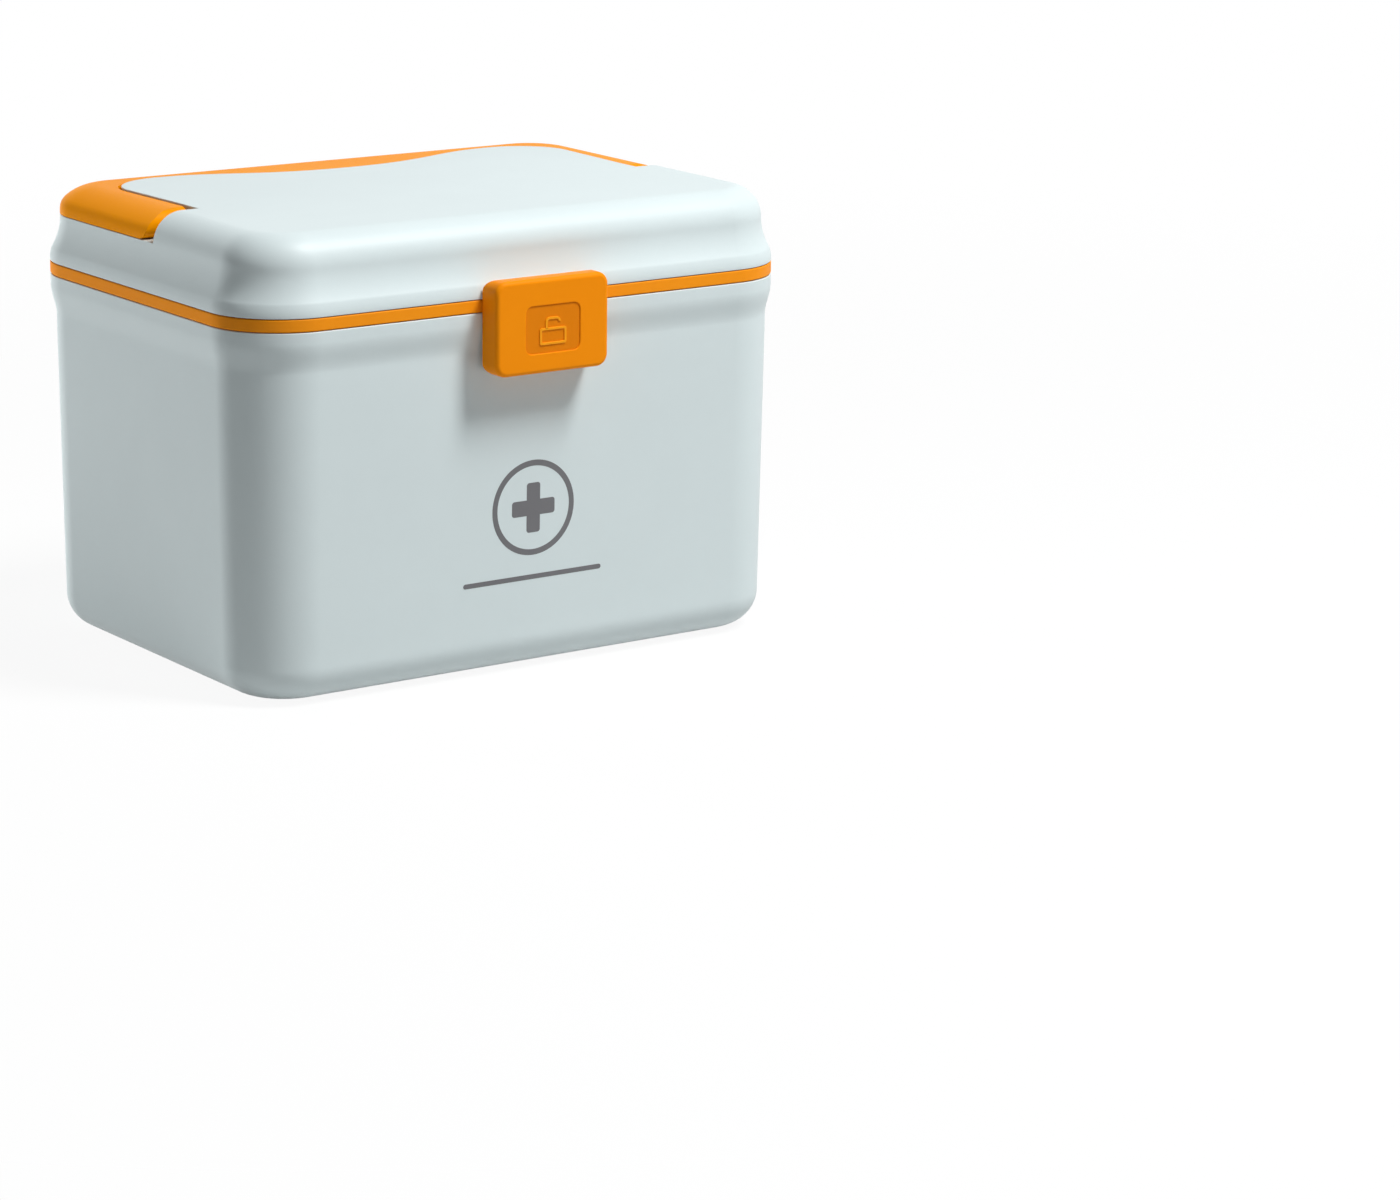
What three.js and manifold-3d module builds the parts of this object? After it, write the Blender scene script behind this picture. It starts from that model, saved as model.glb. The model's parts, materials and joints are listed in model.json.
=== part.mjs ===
// A medicine storage box: a tub on four non-slip feet, a soft seal band on its rim, a hinged lid with a
// fold-down carrying handle and a flap latch, and a lift-out tray with loose dividers.
// Millimetres, +Z up. The hinges are at +Y, the latch at -Y, and the origin lies on the standing plane
// under the middle of the box. All pieces are shown with the lid shut and the handle folded.

import * as THREE from "three";
import { mergeVertices } from "three/addons/utils/BufferGeometryUtils.js";
import Module from "manifold-3d";

// Overall size, measured at the seal band, the widest outline of the box
const BOX_WIDTH = 260;
const BOX_DEPTH = 185.5;
const CORNER_RADIUS = 31.5;
const TUB_TOP = 149.3;
const SEAL_HEIGHT = 4.8;
const LID_HEIGHT = 30.9;
const CLEARANCE = 0.3;

// Tub: insets are measured inwards from the widest outline
const FOOT_PROUD = 0.8;
const TUB_FLOOR = 3.4;
const TUB_WALL = 2.5;
const TUB_INSET_LOW = 3.6;
const TUB_INSET_HIGH = 2.2;
const BASE_FILLET = 14.6;
const BASE_INNER_FILLET = 10;
const FLARE_DROP = 16.8;
const FLARE_RISE = 12.5;
const RIM_WALL = 3.8;
const FOOT_RADIUS = 8;
const FOOT_SINK = 1.9;
const FOOT_INSET_X = 36;
const FOOT_INSET_Y = 34;
const SUPPORT_RIB_INSET = 9.5;
const SUPPORT_RIB_WIDTH = 2.4;
const SUPPORT_RIB_DROP = 11.7;

// Seal band
const SEAL_WALL = 3.5;
const TONGUE_INSET = 1.5;
const TONGUE_WIDTH = 1.1;
const TONGUE_DEPTH = 2.8;

// Lid
const LID_WALL = 2.4;
const LID_RIM_HEIGHT = 3.8;
const LID_SIDE_INSET = 4.4;
const LID_TOP_RADIUS = 13;
const SKIRT_WALL = 1.9;
const SKIRT_DROP = 4.1;
const SHELF_DEPTH = 12.1;
const RECESS_FRONT_Y = -9.5;
const LINER_DROP = 19.9;
const LINER_THICKNESS = 2.2;
const BOSS_RADIUS = 3.8;
const SCREW_X = 80;
const SCREW_Y = 45;
const SCREW_RADIUS = 1.25;
const SCREW_LENGTH = 8;
const SCREW_HEAD_RADIUS = 2.9;
const SCREW_HEAD_HEIGHT = 1.7;

// Handle, folded: the inner edge of its bow, and the pivots at its leg ends
const HANDLE_DROP = 0.5;
const HANDLE_GRIP_Y = 52.5;
const HANDLE_ARCH_X = 81;
const HANDLE_ARCH_Y = 69.5;
const HANDLE_LEG_X = 107.7;
const HANDLE_BEND_Y = 46;
const HANDLE_FOOT_X = 106.2;
const HANDLE_PLAY = 1.3;
const HANDLE_PIVOT_Y = 1.9;
const HANDLE_SKIN = 2.6;
const HANDLE_RIB = 1.8;
const HANDLE_PIN_RADIUS = 2.2;
const HANDLE_PIN_BITE = 12;
const HANDLE_PIN_HEAD_RADIUS = 3.3;
const HANDLE_PIN_HEAD = 1.6;
const PIVOT_BOSS_RADIUS = 4.6;
const PIVOT_BOSS_LENGTH = 6.2;

// Latch flap, its inlay and its pin
const FITTING_REACH = 10.85;
const LATCH_WIDTH = 53;
const LATCH_HEIGHT = 37.9;
const LATCH_CORNER = 5;
const LATCH_EDGE = 1.8;
const LATCH_BACK_GAP = 0.55;
const LATCH_SKIN = 3;
const LATCH_SIDE_WALL = 2.4;
const LATCH_LIP_HEIGHT = 2.1;
const LATCH_LIP_DEPTH = 2.4;
const LATCH_PIN_DROP = 4.2;
const LATCH_PIN_RISE = 3.7;
const LATCH_PIN_RADIUS = 1;
const LATCH_PIN_LENGTH = 40;
const EAR_RADIUS = 2.4;
const EAR_WIDTH = 6;
const EAR_WEB = 1.6;
const EAR_SPACING = 21;
const INLAY_WIDTH = 25.5;
const INLAY_HEIGHT = 19;
const INLAY_CORNER = 3;
const INLAY_SINK = 0.6;
const INLAY_THICKNESS = 1.1;
const INLAY_CENTRE_DROP = 20.3;
const RELIEF_HEIGHT = 0.4;
const RELIEF_LINE = 1;
const LOCK_WIDTH = 12.6;
const LOCK_HEIGHT = 6.8;
const SHACKLE_WIDTH = 7.2;
const SHACKLE_HEIGHT = 4.2;
const CATCH_WIDTH = 30;
const CATCH_HEIGHT = 4;

// Rear hinges
const HINGE_SPACING = 144;
const HINGE_WIDTH = 44;
const KNUCKLE_RADIUS = 4.6;
const KNUCKLE_END_WIDTH = 11;
const HINGE_PIN_RADIUS = 1.6;
const HINGE_PIN_INSET = 0.6;
const HINGE_ARM_DROP = 11;
const HINGE_ARM_RISE = 7;

// Tray and its dividers
const TRAY_FLANGE_INSET = 6.8;
const TRAY_FLANGE_THICKNESS = 2;
const TRAY_PLAY = 0.9;
const TRAY_DEPTH = 44;
const TRAY_WALL = 1.8;
const TRAY_FLOOR = 2;
const TRAY_FILLET = 5;
const TRAY_SPLIT_Y = -14;
const TRAY_CROSS_X = 40;
const TRAY_WALL_DROP = 2;
const TAB_WIDTH = 56;
const TAB_RISE = 10;
const TAB_CORNER = 5;
const TAB_SLOT_WIDTH = 34;
const TAB_SLOT_WEB = 2;
const DIVIDER_THICKNESS = 1.6;
const DIVIDER_SPACING = 58;
const DIVIDER_COUNT = 3;
const DIVIDER_DROP = 4;
const DIVIDER_NOTCH = 9;
const SLOT_RIB_WIDTH = 1.5;
const SLOT_RIB_DEPTH = 2.6;

// Levels and places that follow from the sizes above
const HALF_WIDTH = BOX_WIDTH / 2;
const HALF_DEPTH = BOX_DEPTH / 2;
const SEAL_BASE = TUB_TOP + CLEARANCE;
const LID_BASE = SEAL_BASE + SEAL_HEIGHT + CLEARANCE;
const LID_TOP = LID_BASE + LID_HEIGHT;
const SKIRT_INSET = SEAL_WALL + 2 * CLEARANCE;
const SKIRT_INNER = SKIRT_INSET + SKIRT_WALL;
const SHELF_Z = LID_TOP - SHELF_DEPTH;
const HANDLE_BOTTOM = SHELF_Z + CLEARANCE;
const HANDLE_TOP = LID_TOP - HANDLE_DROP;
const HANDLE_PIVOT_Z = (HANDLE_BOTTOM + HANDLE_TOP) / 2;
const BARREL_RADIUS = (HANDLE_TOP - HANDLE_BOTTOM) / 2;
const LINER_TOP = LID_TOP - LINER_DROP;
const LINER_BASE = LINER_TOP - LINER_THICKNESS;
const FRONT_REACH = -HALF_DEPTH - FITTING_REACH;
const LATCH_BACK = -HALF_DEPTH - LATCH_BACK_GAP;
const LATCH_PIN_Y = LATCH_BACK - LATCH_PIN_DROP;
const LATCH_PIN_Z = LID_BASE + LATCH_PIN_RISE;
const LATCH_TOP = LATCH_PIN_Z + LATCH_PIN_DROP;
const LATCH_BOTTOM = LATCH_TOP - LATCH_HEIGHT;
const HINGE_AXIS_Y = HALF_DEPTH + FITTING_REACH - KNUCKLE_RADIUS;
const HINGE_AXIS_Z = SEAL_BASE + SEAL_HEIGHT / 2;
const RIB_TOP = TUB_TOP - SUPPORT_RIB_DROP;
const FLANGE_BASE = RIB_TOP + CLEARANCE;
const TRAY_TOP = FLANGE_BASE + TRAY_FLANGE_THICKNESS;
const TRAY_BASE = TRAY_TOP - TRAY_DEPTH;
const TRAY_INSET = SUPPORT_RIB_INSET + TRAY_PLAY;
const TRAY_INNER = TRAY_INSET + TRAY_WALL;
const TRAY_FLOOR_Z = TRAY_BASE + TRAY_FLOOR;

// Fineness of round shapes
const CORNER_STEPS = 8;
const ARC_STEPS = 6;
const ROUND_SIDES = 24;
const PIN_SIDES = 20;
const FAR = 400;
const OVERRUN = 5;
const SLOT_FLAT = 0.1;

const wasm = await Module();
wasm.setup();

// Joining and cutting

function solidFrom(geometry) {
  const loose = geometry.index ? geometry.toNonIndexed() : geometry;
  loose.deleteAttribute("normal");
  loose.deleteAttribute("uv");
  const merged = mergeVertices(loose, 1e-4);
  return new wasm.Manifold(
    new wasm.Mesh({
      numProp: 3,
      vertProperties: merged.attributes.position.array,
      triVerts: new Uint32Array(merged.index.array),
    }),
  );
}

function geometryFrom(solid) {
  const mesh = solid.getMesh();
  const geometry = new THREE.BufferGeometry();
  geometry.setAttribute("position", new THREE.BufferAttribute(mesh.vertProperties, 3));
  geometry.setIndex(new THREE.BufferAttribute(mesh.triVerts, 1));
  const faceted = geometry.toNonIndexed();
  faceted.computeVertexNormals();
  return faceted;
}

function join(...solids) {
  return solids.reduce((whole, piece) => whole.add(piece));
}

function cut(solid, ...tools) {
  return tools.reduce((rest, tool) => rest.subtract(tool), solid);
}

// Basic solids

function block(x0, x1, y0, y1, z0, z1) {
  const geometry = new THREE.BoxGeometry(x1 - x0, y1 - y0, z1 - z0);
  geometry.translate((x0 + x1) / 2, (y0 + y1) / 2, (z0 + z1) / 2);
  return solidFrom(geometry);
}

function upright(radius, x, y, z0, z1, sides = ROUND_SIDES) {
  const geometry = new THREE.CylinderGeometry(radius, radius, z1 - z0, sides);
  geometry.rotateX(Math.PI / 2);
  geometry.translate(x, y, (z0 + z1) / 2);
  return solidFrom(geometry);
}

function crosswise(radius, x0, x1, y, z, sides = ROUND_SIDES) {
  const geometry = new THREE.CylinderGeometry(radius, radius, x1 - x0, sides);
  geometry.rotateZ(Math.PI / 2);
  geometry.translate((x0 + x1) / 2, y, z);
  return solidFrom(geometry);
}

function extruded(shape, depth) {
  return new THREE.ExtrudeGeometry(shape, {
    depth,
    bevelEnabled: false,
    curveSegments: ARC_STEPS,
  });
}

// A plan outline (x, y) raised from z0 to z1
function raised(shape, z0, z1) {
  return solidFrom(extruded(shape, z1 - z0).translate(0, 0, z0));
}

// A side outline (y, z) swept from x0 to x1
function sweptAcross(shape, x0, x1) {
  const turn = new THREE.Matrix4().makeBasis(
    new THREE.Vector3(0, 1, 0),
    new THREE.Vector3(0, 0, 1),
    new THREE.Vector3(1, 0, 0),
  );
  return solidFrom(extruded(shape, x1 - x0).applyMatrix4(turn).translate(x0, 0, 0));
}

// A front outline (x, z) swept from y0, the rear, forwards to y1
function sweptForwards(shape, y0, y1) {
  const turn = new THREE.Matrix4().makeBasis(
    new THREE.Vector3(1, 0, 0),
    new THREE.Vector3(0, 0, 1),
    new THREE.Vector3(0, -1, 0),
  );
  return solidFrom(extruded(shape, y0 - y1).applyMatrix4(turn).translate(0, y0, 0));
}

function roundedRectangle(x0, x1, y0, y1, radius) {
  const shape = new THREE.Shape();
  shape.moveTo(x0 + radius, y0);
  shape.lineTo(x1 - radius, y0);
  shape.absarc(x1 - radius, y0 + radius, radius, -Math.PI / 2, 0);
  shape.lineTo(x1, y1 - radius);
  shape.absarc(x1 - radius, y1 - radius, radius, 0, Math.PI / 2);
  shape.lineTo(x0 + radius, y1);
  shape.absarc(x0 + radius, y1 - radius, radius, Math.PI / 2, Math.PI);
  shape.lineTo(x0, y0 + radius);
  shape.absarc(x0 + radius, y0 + radius, radius, Math.PI, 1.5 * Math.PI);
  return shape;
}

// The box's plan outline drawn in by an inset: corner arcs on fixed centres
function planRing(inset) {
  const radius = CORNER_RADIUS - inset;
  const ring = [];
  const centres = [
    [1, 1, 0],
    [-1, 1, 1],
    [-1, -1, 2],
    [1, -1, 3],
  ];
  for (const [sideX, sideY, quarter] of centres) {
    for (let step = 0; step <= CORNER_STEPS; step++) {
      const angle = (quarter + step / CORNER_STEPS) * (Math.PI / 2);
      ring.push([
        sideX * (HALF_WIDTH - CORNER_RADIUS) + radius * Math.cos(angle),
        sideY * (HALF_DEPTH - CORNER_RADIUS) + radius * Math.sin(angle),
      ]);
    }
  }
  return ring;
}

// A solid with the box's plan outline, whose inset follows a profile of (inset, z) points upwards
function lofted(profile) {
  const rings = profile.map(({ x: inset }) => planRing(inset));
  const count = rings[0].length;
  const positions = [];
  const put = (level, index) => {
    const [x, y] = rings[level][index % count];
    positions.push(x, y, profile[level].y);
  };
  const last = profile.length - 1;
  for (let index = 0; index < count; index++) {
    positions.push(0, 0, profile[0].y);
    put(0, index + 1);
    put(0, index);
    positions.push(0, 0, profile[last].y);
    put(last, index);
    put(last, index + 1);
    for (let level = 0; level < last; level++) {
      put(level, index);
      put(level, index + 1);
      put(level + 1, index + 1);
      put(level, index);
      put(level + 1, index + 1);
      put(level + 1, index);
    }
  }
  const geometry = new THREE.BufferGeometry();
  geometry.setAttribute("position", new THREE.Float32BufferAttribute(positions, 3));
  return solidFrom(geometry);
}

function straight(inset, z0, z1) {
  return lofted([new THREE.Vector2(inset, z0), new THREE.Vector2(inset, z1)]);
}

// Tub

function tubOuterProfile() {
  const path = new THREE.Path();
  const flareStart = TUB_TOP - FLARE_DROP;
  const flareEnd = flareStart + FLARE_RISE;
  const middle = (flareStart + flareEnd) / 2;
  path.moveTo(TUB_INSET_LOW + BASE_FILLET, FOOT_PROUD);
  path.absarc(
    TUB_INSET_LOW + BASE_FILLET,
    FOOT_PROUD + BASE_FILLET,
    BASE_FILLET,
    1.5 * Math.PI,
    Math.PI,
    true,
  );
  path.lineTo(TUB_INSET_HIGH, flareStart);
  path.bezierCurveTo(TUB_INSET_HIGH, middle, 0, middle, 0, flareEnd);
  path.lineTo(0, TUB_TOP);
  return path.getPoints(4);
}

// The tub's inside, or the same profile sunk into the wall by some depth
function tubInnerProfile(depth) {
  const path = new THREE.Path();
  const floor = FOOT_PROUD + TUB_FLOOR - depth;
  const flareStart = TUB_TOP - FLARE_DROP;
  const low = TUB_INSET_LOW + TUB_WALL - depth;
  const fillet = BASE_INNER_FILLET + depth;
  path.moveTo(low + fillet, floor);
  path.absarc(low + fillet, floor + fillet, fillet, 1.5 * Math.PI, Math.PI, true);
  path.lineTo(TUB_INSET_HIGH + TUB_WALL - depth, flareStart);
  path.lineTo(RIM_WALL - depth, flareStart + FLARE_RISE);
  path.lineTo(RIM_WALL - depth, TUB_TOP + 1);
  return path.getPoints(3);
}

function footPlaces() {
  const x = HALF_WIDTH - FOOT_INSET_X;
  const y = HALF_DEPTH - FOOT_INSET_Y;
  return [
    ["front_left", -x, -y],
    ["front_right", x, -y],
    ["rear_left", -x, y],
    ["rear_right", x, y],
  ];
}

// Upright ribs inside the walls, whose tops carry the tray's flange
function supportRibs() {
  const z0 = FOOT_PROUD;
  const reachX = HALF_WIDTH - SUPPORT_RIB_INSET;
  const reachY = HALF_DEPTH - SUPPORT_RIB_INSET;
  const half = SUPPORT_RIB_WIDTH / 2;
  const ribs = [];
  for (const side of [-1, 1]) {
    for (const x of [-BOX_WIDTH / 4, 0, BOX_WIDTH / 4]) {
      const y = side * reachY;
      ribs.push(block(x - half, x + half, Math.min(y, side * FAR), Math.max(y, side * FAR), z0, RIB_TOP));
    }
    for (const y of [-BOX_DEPTH / 6, BOX_DEPTH / 6]) {
      const x = side * reachX;
      ribs.push(block(Math.min(x, side * FAR), Math.max(x, side * FAR), y - half, y + half, z0, RIB_TOP));
    }
  }
  return join(...ribs);
}

// A knuckle's side outline: the round eye, and the web that ties it to a wall between two heights
function knuckleOutline(eyeY, eyeZ, radius, wallY, wallLow, wallHigh) {
  const eye = new THREE.Vector2(eyeY, eyeZ);
  const low = new THREE.Vector2(wallY, wallLow);
  const high = new THREE.Vector2(wallY, wallHigh);
  const points = [low, high];
  for (let step = 0; step < ROUND_SIDES; step++) {
    const angle = (step / ROUND_SIDES) * 2 * Math.PI;
    points.push(new THREE.Vector2(Math.cos(angle), Math.sin(angle)).multiplyScalar(radius).add(eye));
  }
  return new THREE.Shape(convexHull(points));
}

function convexHull(points) {
  const sorted = [...points].sort((a, b) => a.x - b.x || a.y - b.y);
  const turn = (a, b, c) => (b.x - a.x) * (c.y - a.y) - (b.y - a.y) * (c.x - a.x);
  const chain = (list) => {
    const kept = [];
    for (const point of list) {
      while (kept.length > 1 && turn(kept.at(-2), kept.at(-1), point) <= 1e-9) kept.pop();
      kept.push(point);
    }
    kept.pop();
    return kept;
  };
  return [...chain(sorted), ...chain(sorted.reverse())];
}

function hingeCentres() {
  return [
    ["left", -HINGE_SPACING / 2],
    ["right", HINGE_SPACING / 2],
  ];
}

function hingeBore() {
  return crosswise(HINGE_PIN_RADIUS + CLEARANCE, -FAR, FAR, HINGE_AXIS_Y, HINGE_AXIS_Z, PIN_SIDES);
}

function tubKnuckles() {
  const outline = knuckleOutline(
    HINGE_AXIS_Y,
    HINGE_AXIS_Z,
    KNUCKLE_RADIUS,
    HALF_DEPTH - RIM_WALL / 2,
    TUB_TOP - HINGE_ARM_DROP,
    TUB_TOP - 0.5,
  );
  const knuckles = [];
  for (const [, x] of hingeCentres()) {
    const outer = HINGE_WIDTH / 2;
    const inner = outer - KNUCKLE_END_WIDTH;
    knuckles.push(sweptAcross(outline, x - outer, x - inner));
    knuckles.push(sweptAcross(outline, x + inner, x + outer));
  }
  const guard = block(-FAR, FAR, 0, HALF_DEPTH + CLEARANCE, TUB_TOP, FAR);
  return cut(join(...knuckles), guard);
}

// The fixed ledge in front, behind the latch flap's lip
function tubCatch() {
  const tip = LATCH_BACK + CLEARANCE;
  const root = -HALF_DEPTH + TUB_INSET_HIGH + TUB_WALL / 2;
  const base = LATCH_BOTTOM + LATCH_SIDE_WALL + LATCH_LIP_HEIGHT + CLEARANCE;
  const shape = new THREE.Shape();
  shape.moveTo(root, base);
  shape.lineTo(root, base + CATCH_HEIGHT + (root - tip));
  shape.lineTo(tip, base + CATCH_HEIGHT);
  shape.lineTo(tip, base);
  shape.closePath();
  return sweptAcross(shape, -CATCH_WIDTH / 2, CATCH_WIDTH / 2);
}

function sealGroove() {
  const outer = straight(TONGUE_INSET - CLEARANCE, SEAL_BASE - TONGUE_DEPTH - CLEARANCE, TUB_TOP + 1);
  const inner = straight(
    TONGUE_INSET + TONGUE_WIDTH + CLEARANCE,
    SEAL_BASE - TONGUE_DEPTH - 1,
    TUB_TOP + 2,
  );
  return outer.subtract(inner);
}

function bodyTub() {
  const outer = lofted(tubOuterProfile());
  const inner = lofted(tubInnerProfile(0));
  const ribs = supportRibs().intersect(lofted(tubInnerProfile(TUB_WALL / 2)));
  const shell = join(outer.subtract(inner), ribs);
  const feet = footPlaces().map(([, x, y]) =>
    upright(FOOT_RADIUS + CLEARANCE, x, y, -1, FOOT_PROUD + FOOT_SINK + CLEARANCE, ROUND_SIDES),
  );
  const knuckles = cut(tubKnuckles(), inner, hingeBore());
  return cut(join(shell, knuckles, tubCatch()), sealGroove(), ...feet);
}

function footPad() {
  const profile = [
    new THREE.Vector2(0, 0),
    new THREE.Vector2(FOOT_RADIUS - FOOT_PROUD, 0),
    new THREE.Vector2(FOOT_RADIUS, FOOT_PROUD),
    new THREE.Vector2(FOOT_RADIUS, FOOT_PROUD + FOOT_SINK),
    new THREE.Vector2(0, FOOT_PROUD + FOOT_SINK),
  ];
  return solidFrom(new THREE.LatheGeometry(profile, ROUND_SIDES).rotateX(Math.PI / 2));
}

// Seal band

function sealBand() {
  const top = SEAL_BASE + SEAL_HEIGHT;
  const band = straight(0, SEAL_BASE, top).subtract(straight(SEAL_WALL, SEAL_BASE - 1, top + 1));
  const tongueBase = SEAL_BASE - TONGUE_DEPTH;
  const tongue = straight(TONGUE_INSET, tongueBase, SEAL_BASE + 1).subtract(
    straight(TONGUE_INSET + TONGUE_WIDTH, tongueBase - 1, SEAL_BASE + 2),
  );
  return band.add(tongue);
}

// Lid

// The lid's outside lowered by some drop, or the same profile sunk into it by some depth
function lidOuterProfile(drop, depth) {
  const path = new THREE.Path();
  const side = LID_BASE + LID_RIM_HEIGHT - drop;
  const shoulder = LID_TOP - LID_TOP_RADIUS - drop;
  const inset = LID_SIDE_INSET + depth;
  const round = LID_TOP_RADIUS - depth;
  path.moveTo(depth, LID_BASE - drop);
  path.lineTo(depth, side);
  path.quadraticCurveTo(inset, (side + shoulder) / 2, inset, shoulder);
  path.absarc(inset + round, shoulder, round, Math.PI, Math.PI / 2, true);
  return path.getPoints(5);
}

function lidInnerProfile() {
  const path = new THREE.Path();
  const shoulder = LID_TOP - LID_TOP_RADIUS;
  const inset = Math.max(LID_SIDE_INSET + LID_WALL, SKIRT_INNER + 0.2);
  const radius = LID_SIDE_INSET + LID_TOP_RADIUS - inset;
  path.moveTo(SKIRT_INNER, LID_BASE - SKIRT_DROP - 1);
  path.lineTo(SKIRT_INNER, LINER_TOP + 2);
  path.lineTo(inset, shoulder);
  path.absellipse(
    inset + radius,
    shoulder,
    radius,
    LID_TOP_RADIUS - LID_WALL,
    Math.PI,
    Math.PI / 2,
    true,
  );
  return path.getPoints(3);
}

// Plan of what the handle's bow encloses. Offset 0 is the handle's own inner edge, and a larger one
// draws the outline inwards.
function bowInside(offset, frontY) {
  const grip = HANDLE_GRIP_Y - offset;
  const arch = HANDLE_ARCH_Y - offset;
  const leg = HANDLE_LEG_X - offset;
  const foot = HANDLE_FOOT_X - offset;
  const easeIn = HANDLE_ARCH_X * 0.54;
  const easeOut = HANDLE_ARCH_X * 0.63;
  const bend = leg - HANDLE_ARCH_X;
  const shape = new THREE.Shape();
  shape.moveTo(foot, frontY);
  shape.lineTo(foot, HANDLE_PIVOT_Y);
  shape.lineTo(leg, HANDLE_BEND_Y);
  shape.absellipse(HANDLE_ARCH_X, HANDLE_BEND_Y, bend, arch - HANDLE_BEND_Y, 0, Math.PI / 2);
  shape.bezierCurveTo(easeOut, arch, easeIn, grip, 0, grip);
  shape.bezierCurveTo(-easeIn, grip, -easeOut, arch, -HANDLE_ARCH_X, arch);
  shape.absellipse(-HANDLE_ARCH_X, HANDLE_BEND_Y, bend, arch - HANDLE_BEND_Y, Math.PI / 2, Math.PI);
  shape.lineTo(-foot, HANDLE_PIVOT_Y);
  shape.lineTo(-foot, frontY);
  shape.closePath();
  return shape;
}

// The sunken U round the lid's raised middle, where the handle folds
function handleRecess() {
  const middle = raised(bowInside(HANDLE_PLAY, RECESS_FRONT_Y - OVERRUN), SHELF_Z - OVERRUN, LID_TOP + OVERRUN);
  return block(-FAR, FAR, RECESS_FRONT_Y, FAR, SHELF_Z, LID_TOP + 1).subtract(middle);
}

// The hollow under the lid's skin, which follows the recess at wall thickness
function lidHollow() {
  const inner = lofted(lidInnerProfile());
  const low = block(-FAR, FAR, -FAR, FAR, 0, SHELF_Z - LID_WALL);
  const front = block(-FAR, FAR, -FAR, RECESS_FRONT_Y - LID_WALL, 0, LID_TOP);
  const middle = raised(bowInside(HANDLE_PLAY + LID_WALL, RECESS_FRONT_Y - OVERRUN), 0, LID_TOP);
  return inner.intersect(join(low, front, middle));
}

function screwPlaces() {
  return [
    [-SCREW_X, -SCREW_Y],
    [SCREW_X, -SCREW_Y],
    [-SCREW_X, SCREW_Y],
    [SCREW_X, SCREW_Y],
  ];
}

function screwBosses() {
  const top = LID_TOP - LID_WALL / 2;
  return join(
    ...screwPlaces().map(([x, y]) => upright(BOSS_RADIUS, x, y, LINER_TOP + CLEARANCE, top)),
  );
}

function screwBores() {
  const top = LINER_BASE + SCREW_LENGTH + 1;
  return join(
    ...screwPlaces().map(([x, y]) =>
      upright(SCREW_RADIUS + CLEARANCE, x, y, LINER_TOP - 1, top, PIN_SIDES),
    ),
  );
}

// Bosses inside the raised middle's side walls, bored for the handle's pins
function pivotBosses() {
  const face = HANDLE_FOOT_X - HANDLE_PLAY;
  const bosses = [-1, 1].map((side) => {
    const outer = side * (face - LID_WALL / 2);
    const inner = side * (face - PIVOT_BOSS_LENGTH);
    return crosswise(
      PIVOT_BOSS_RADIUS,
      Math.min(outer, inner),
      Math.max(outer, inner),
      HANDLE_PIVOT_Y,
      HANDLE_PIVOT_Z,
    );
  });
  return join(...bosses);
}

function pivotBore() {
  return crosswise(
    HANDLE_PIN_RADIUS + CLEARANCE,
    -HALF_WIDTH,
    HALF_WIDTH,
    HANDLE_PIVOT_Y,
    HANDLE_PIVOT_Z,
    PIN_SIDES,
  ).subtract(block(-BOX_WIDTH / 4, BOX_WIDTH / 4, -FAR, FAR, 0, FAR));
}

function earCentres() {
  return [-EAR_SPACING / 2, EAR_SPACING / 2];
}

// Ears in front that carry the latch pin: each reaches out low from the rim and turns up round the pin
function latchEars() {
  const wall = -HALF_DEPTH + SKIRT_INSET / 2;
  const outline = knuckleOutline(
    LATCH_PIN_Y,
    LATCH_PIN_Z,
    EAR_RADIUS,
    LATCH_PIN_Y,
    LID_BASE,
    LATCH_PIN_Z,
  );
  const webTop = LID_BASE + EAR_WEB;
  const ears = earCentres().map((x) =>
    join(
      sweptAcross(outline, x - EAR_WIDTH / 2, x + EAR_WIDTH / 2),
      block(x - EAR_WIDTH / 2, x + EAR_WIDTH / 2, LATCH_PIN_Y - EAR_RADIUS / 2, wall, LID_BASE, webTop),
    ),
  );
  return join(...ears);
}

function latchBore(x0, x1) {
  return crosswise(
    LATCH_PIN_RADIUS + CLEARANCE,
    x0,
    x1,
    LATCH_PIN_Y,
    LATCH_PIN_Z,
    PIN_SIDES,
  );
}

function lidKnuckles() {
  const outline = knuckleOutline(
    HINGE_AXIS_Y,
    HINGE_AXIS_Z,
    KNUCKLE_RADIUS,
    HALF_DEPTH - SKIRT_INSET / 2,
    LID_BASE,
    LID_BASE + HINGE_ARM_RISE,
  );
  const half = HINGE_WIDTH / 2 - KNUCKLE_END_WIDTH - 2 * CLEARANCE;
  const guard = block(-FAR, FAR, 0, HALF_DEPTH + 2 * CLEARANCE, 0, LID_BASE);
  const knuckles = hingeCentres().map(([, x]) => sweptAcross(outline, x - half, x + half));
  return cut(join(...knuckles), guard);
}

function lidShell() {
  const envelope = lofted(lidOuterProfile(0, 0));
  const skirt = straight(SKIRT_INSET, LID_BASE - SKIRT_DROP, LID_BASE + 1);
  const hollow = lidHollow();
  const shell = cut(join(envelope, skirt), handleRecess(), hollow);
  const fittings = join(screwBosses(), pivotBosses());
  const whole = join(shell, fittings, cut(latchEars(), hollow), cut(lidKnuckles(), hollow));
  return cut(whole, screwBores(), pivotBore(), latchBore(-LATCH_WIDTH, LATCH_WIDTH), hingeBore());
}

function lidLiner() {
  const panel = straight(SKIRT_INNER + CLEARANCE, LINER_BASE, LINER_TOP);
  const holes = screwPlaces().map(([x, y]) =>
    upright(SCREW_RADIUS + CLEARANCE, x, y, LINER_BASE - 1, LINER_TOP + 1, PIN_SIDES),
  );
  return cut(panel, ...holes);
}

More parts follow.
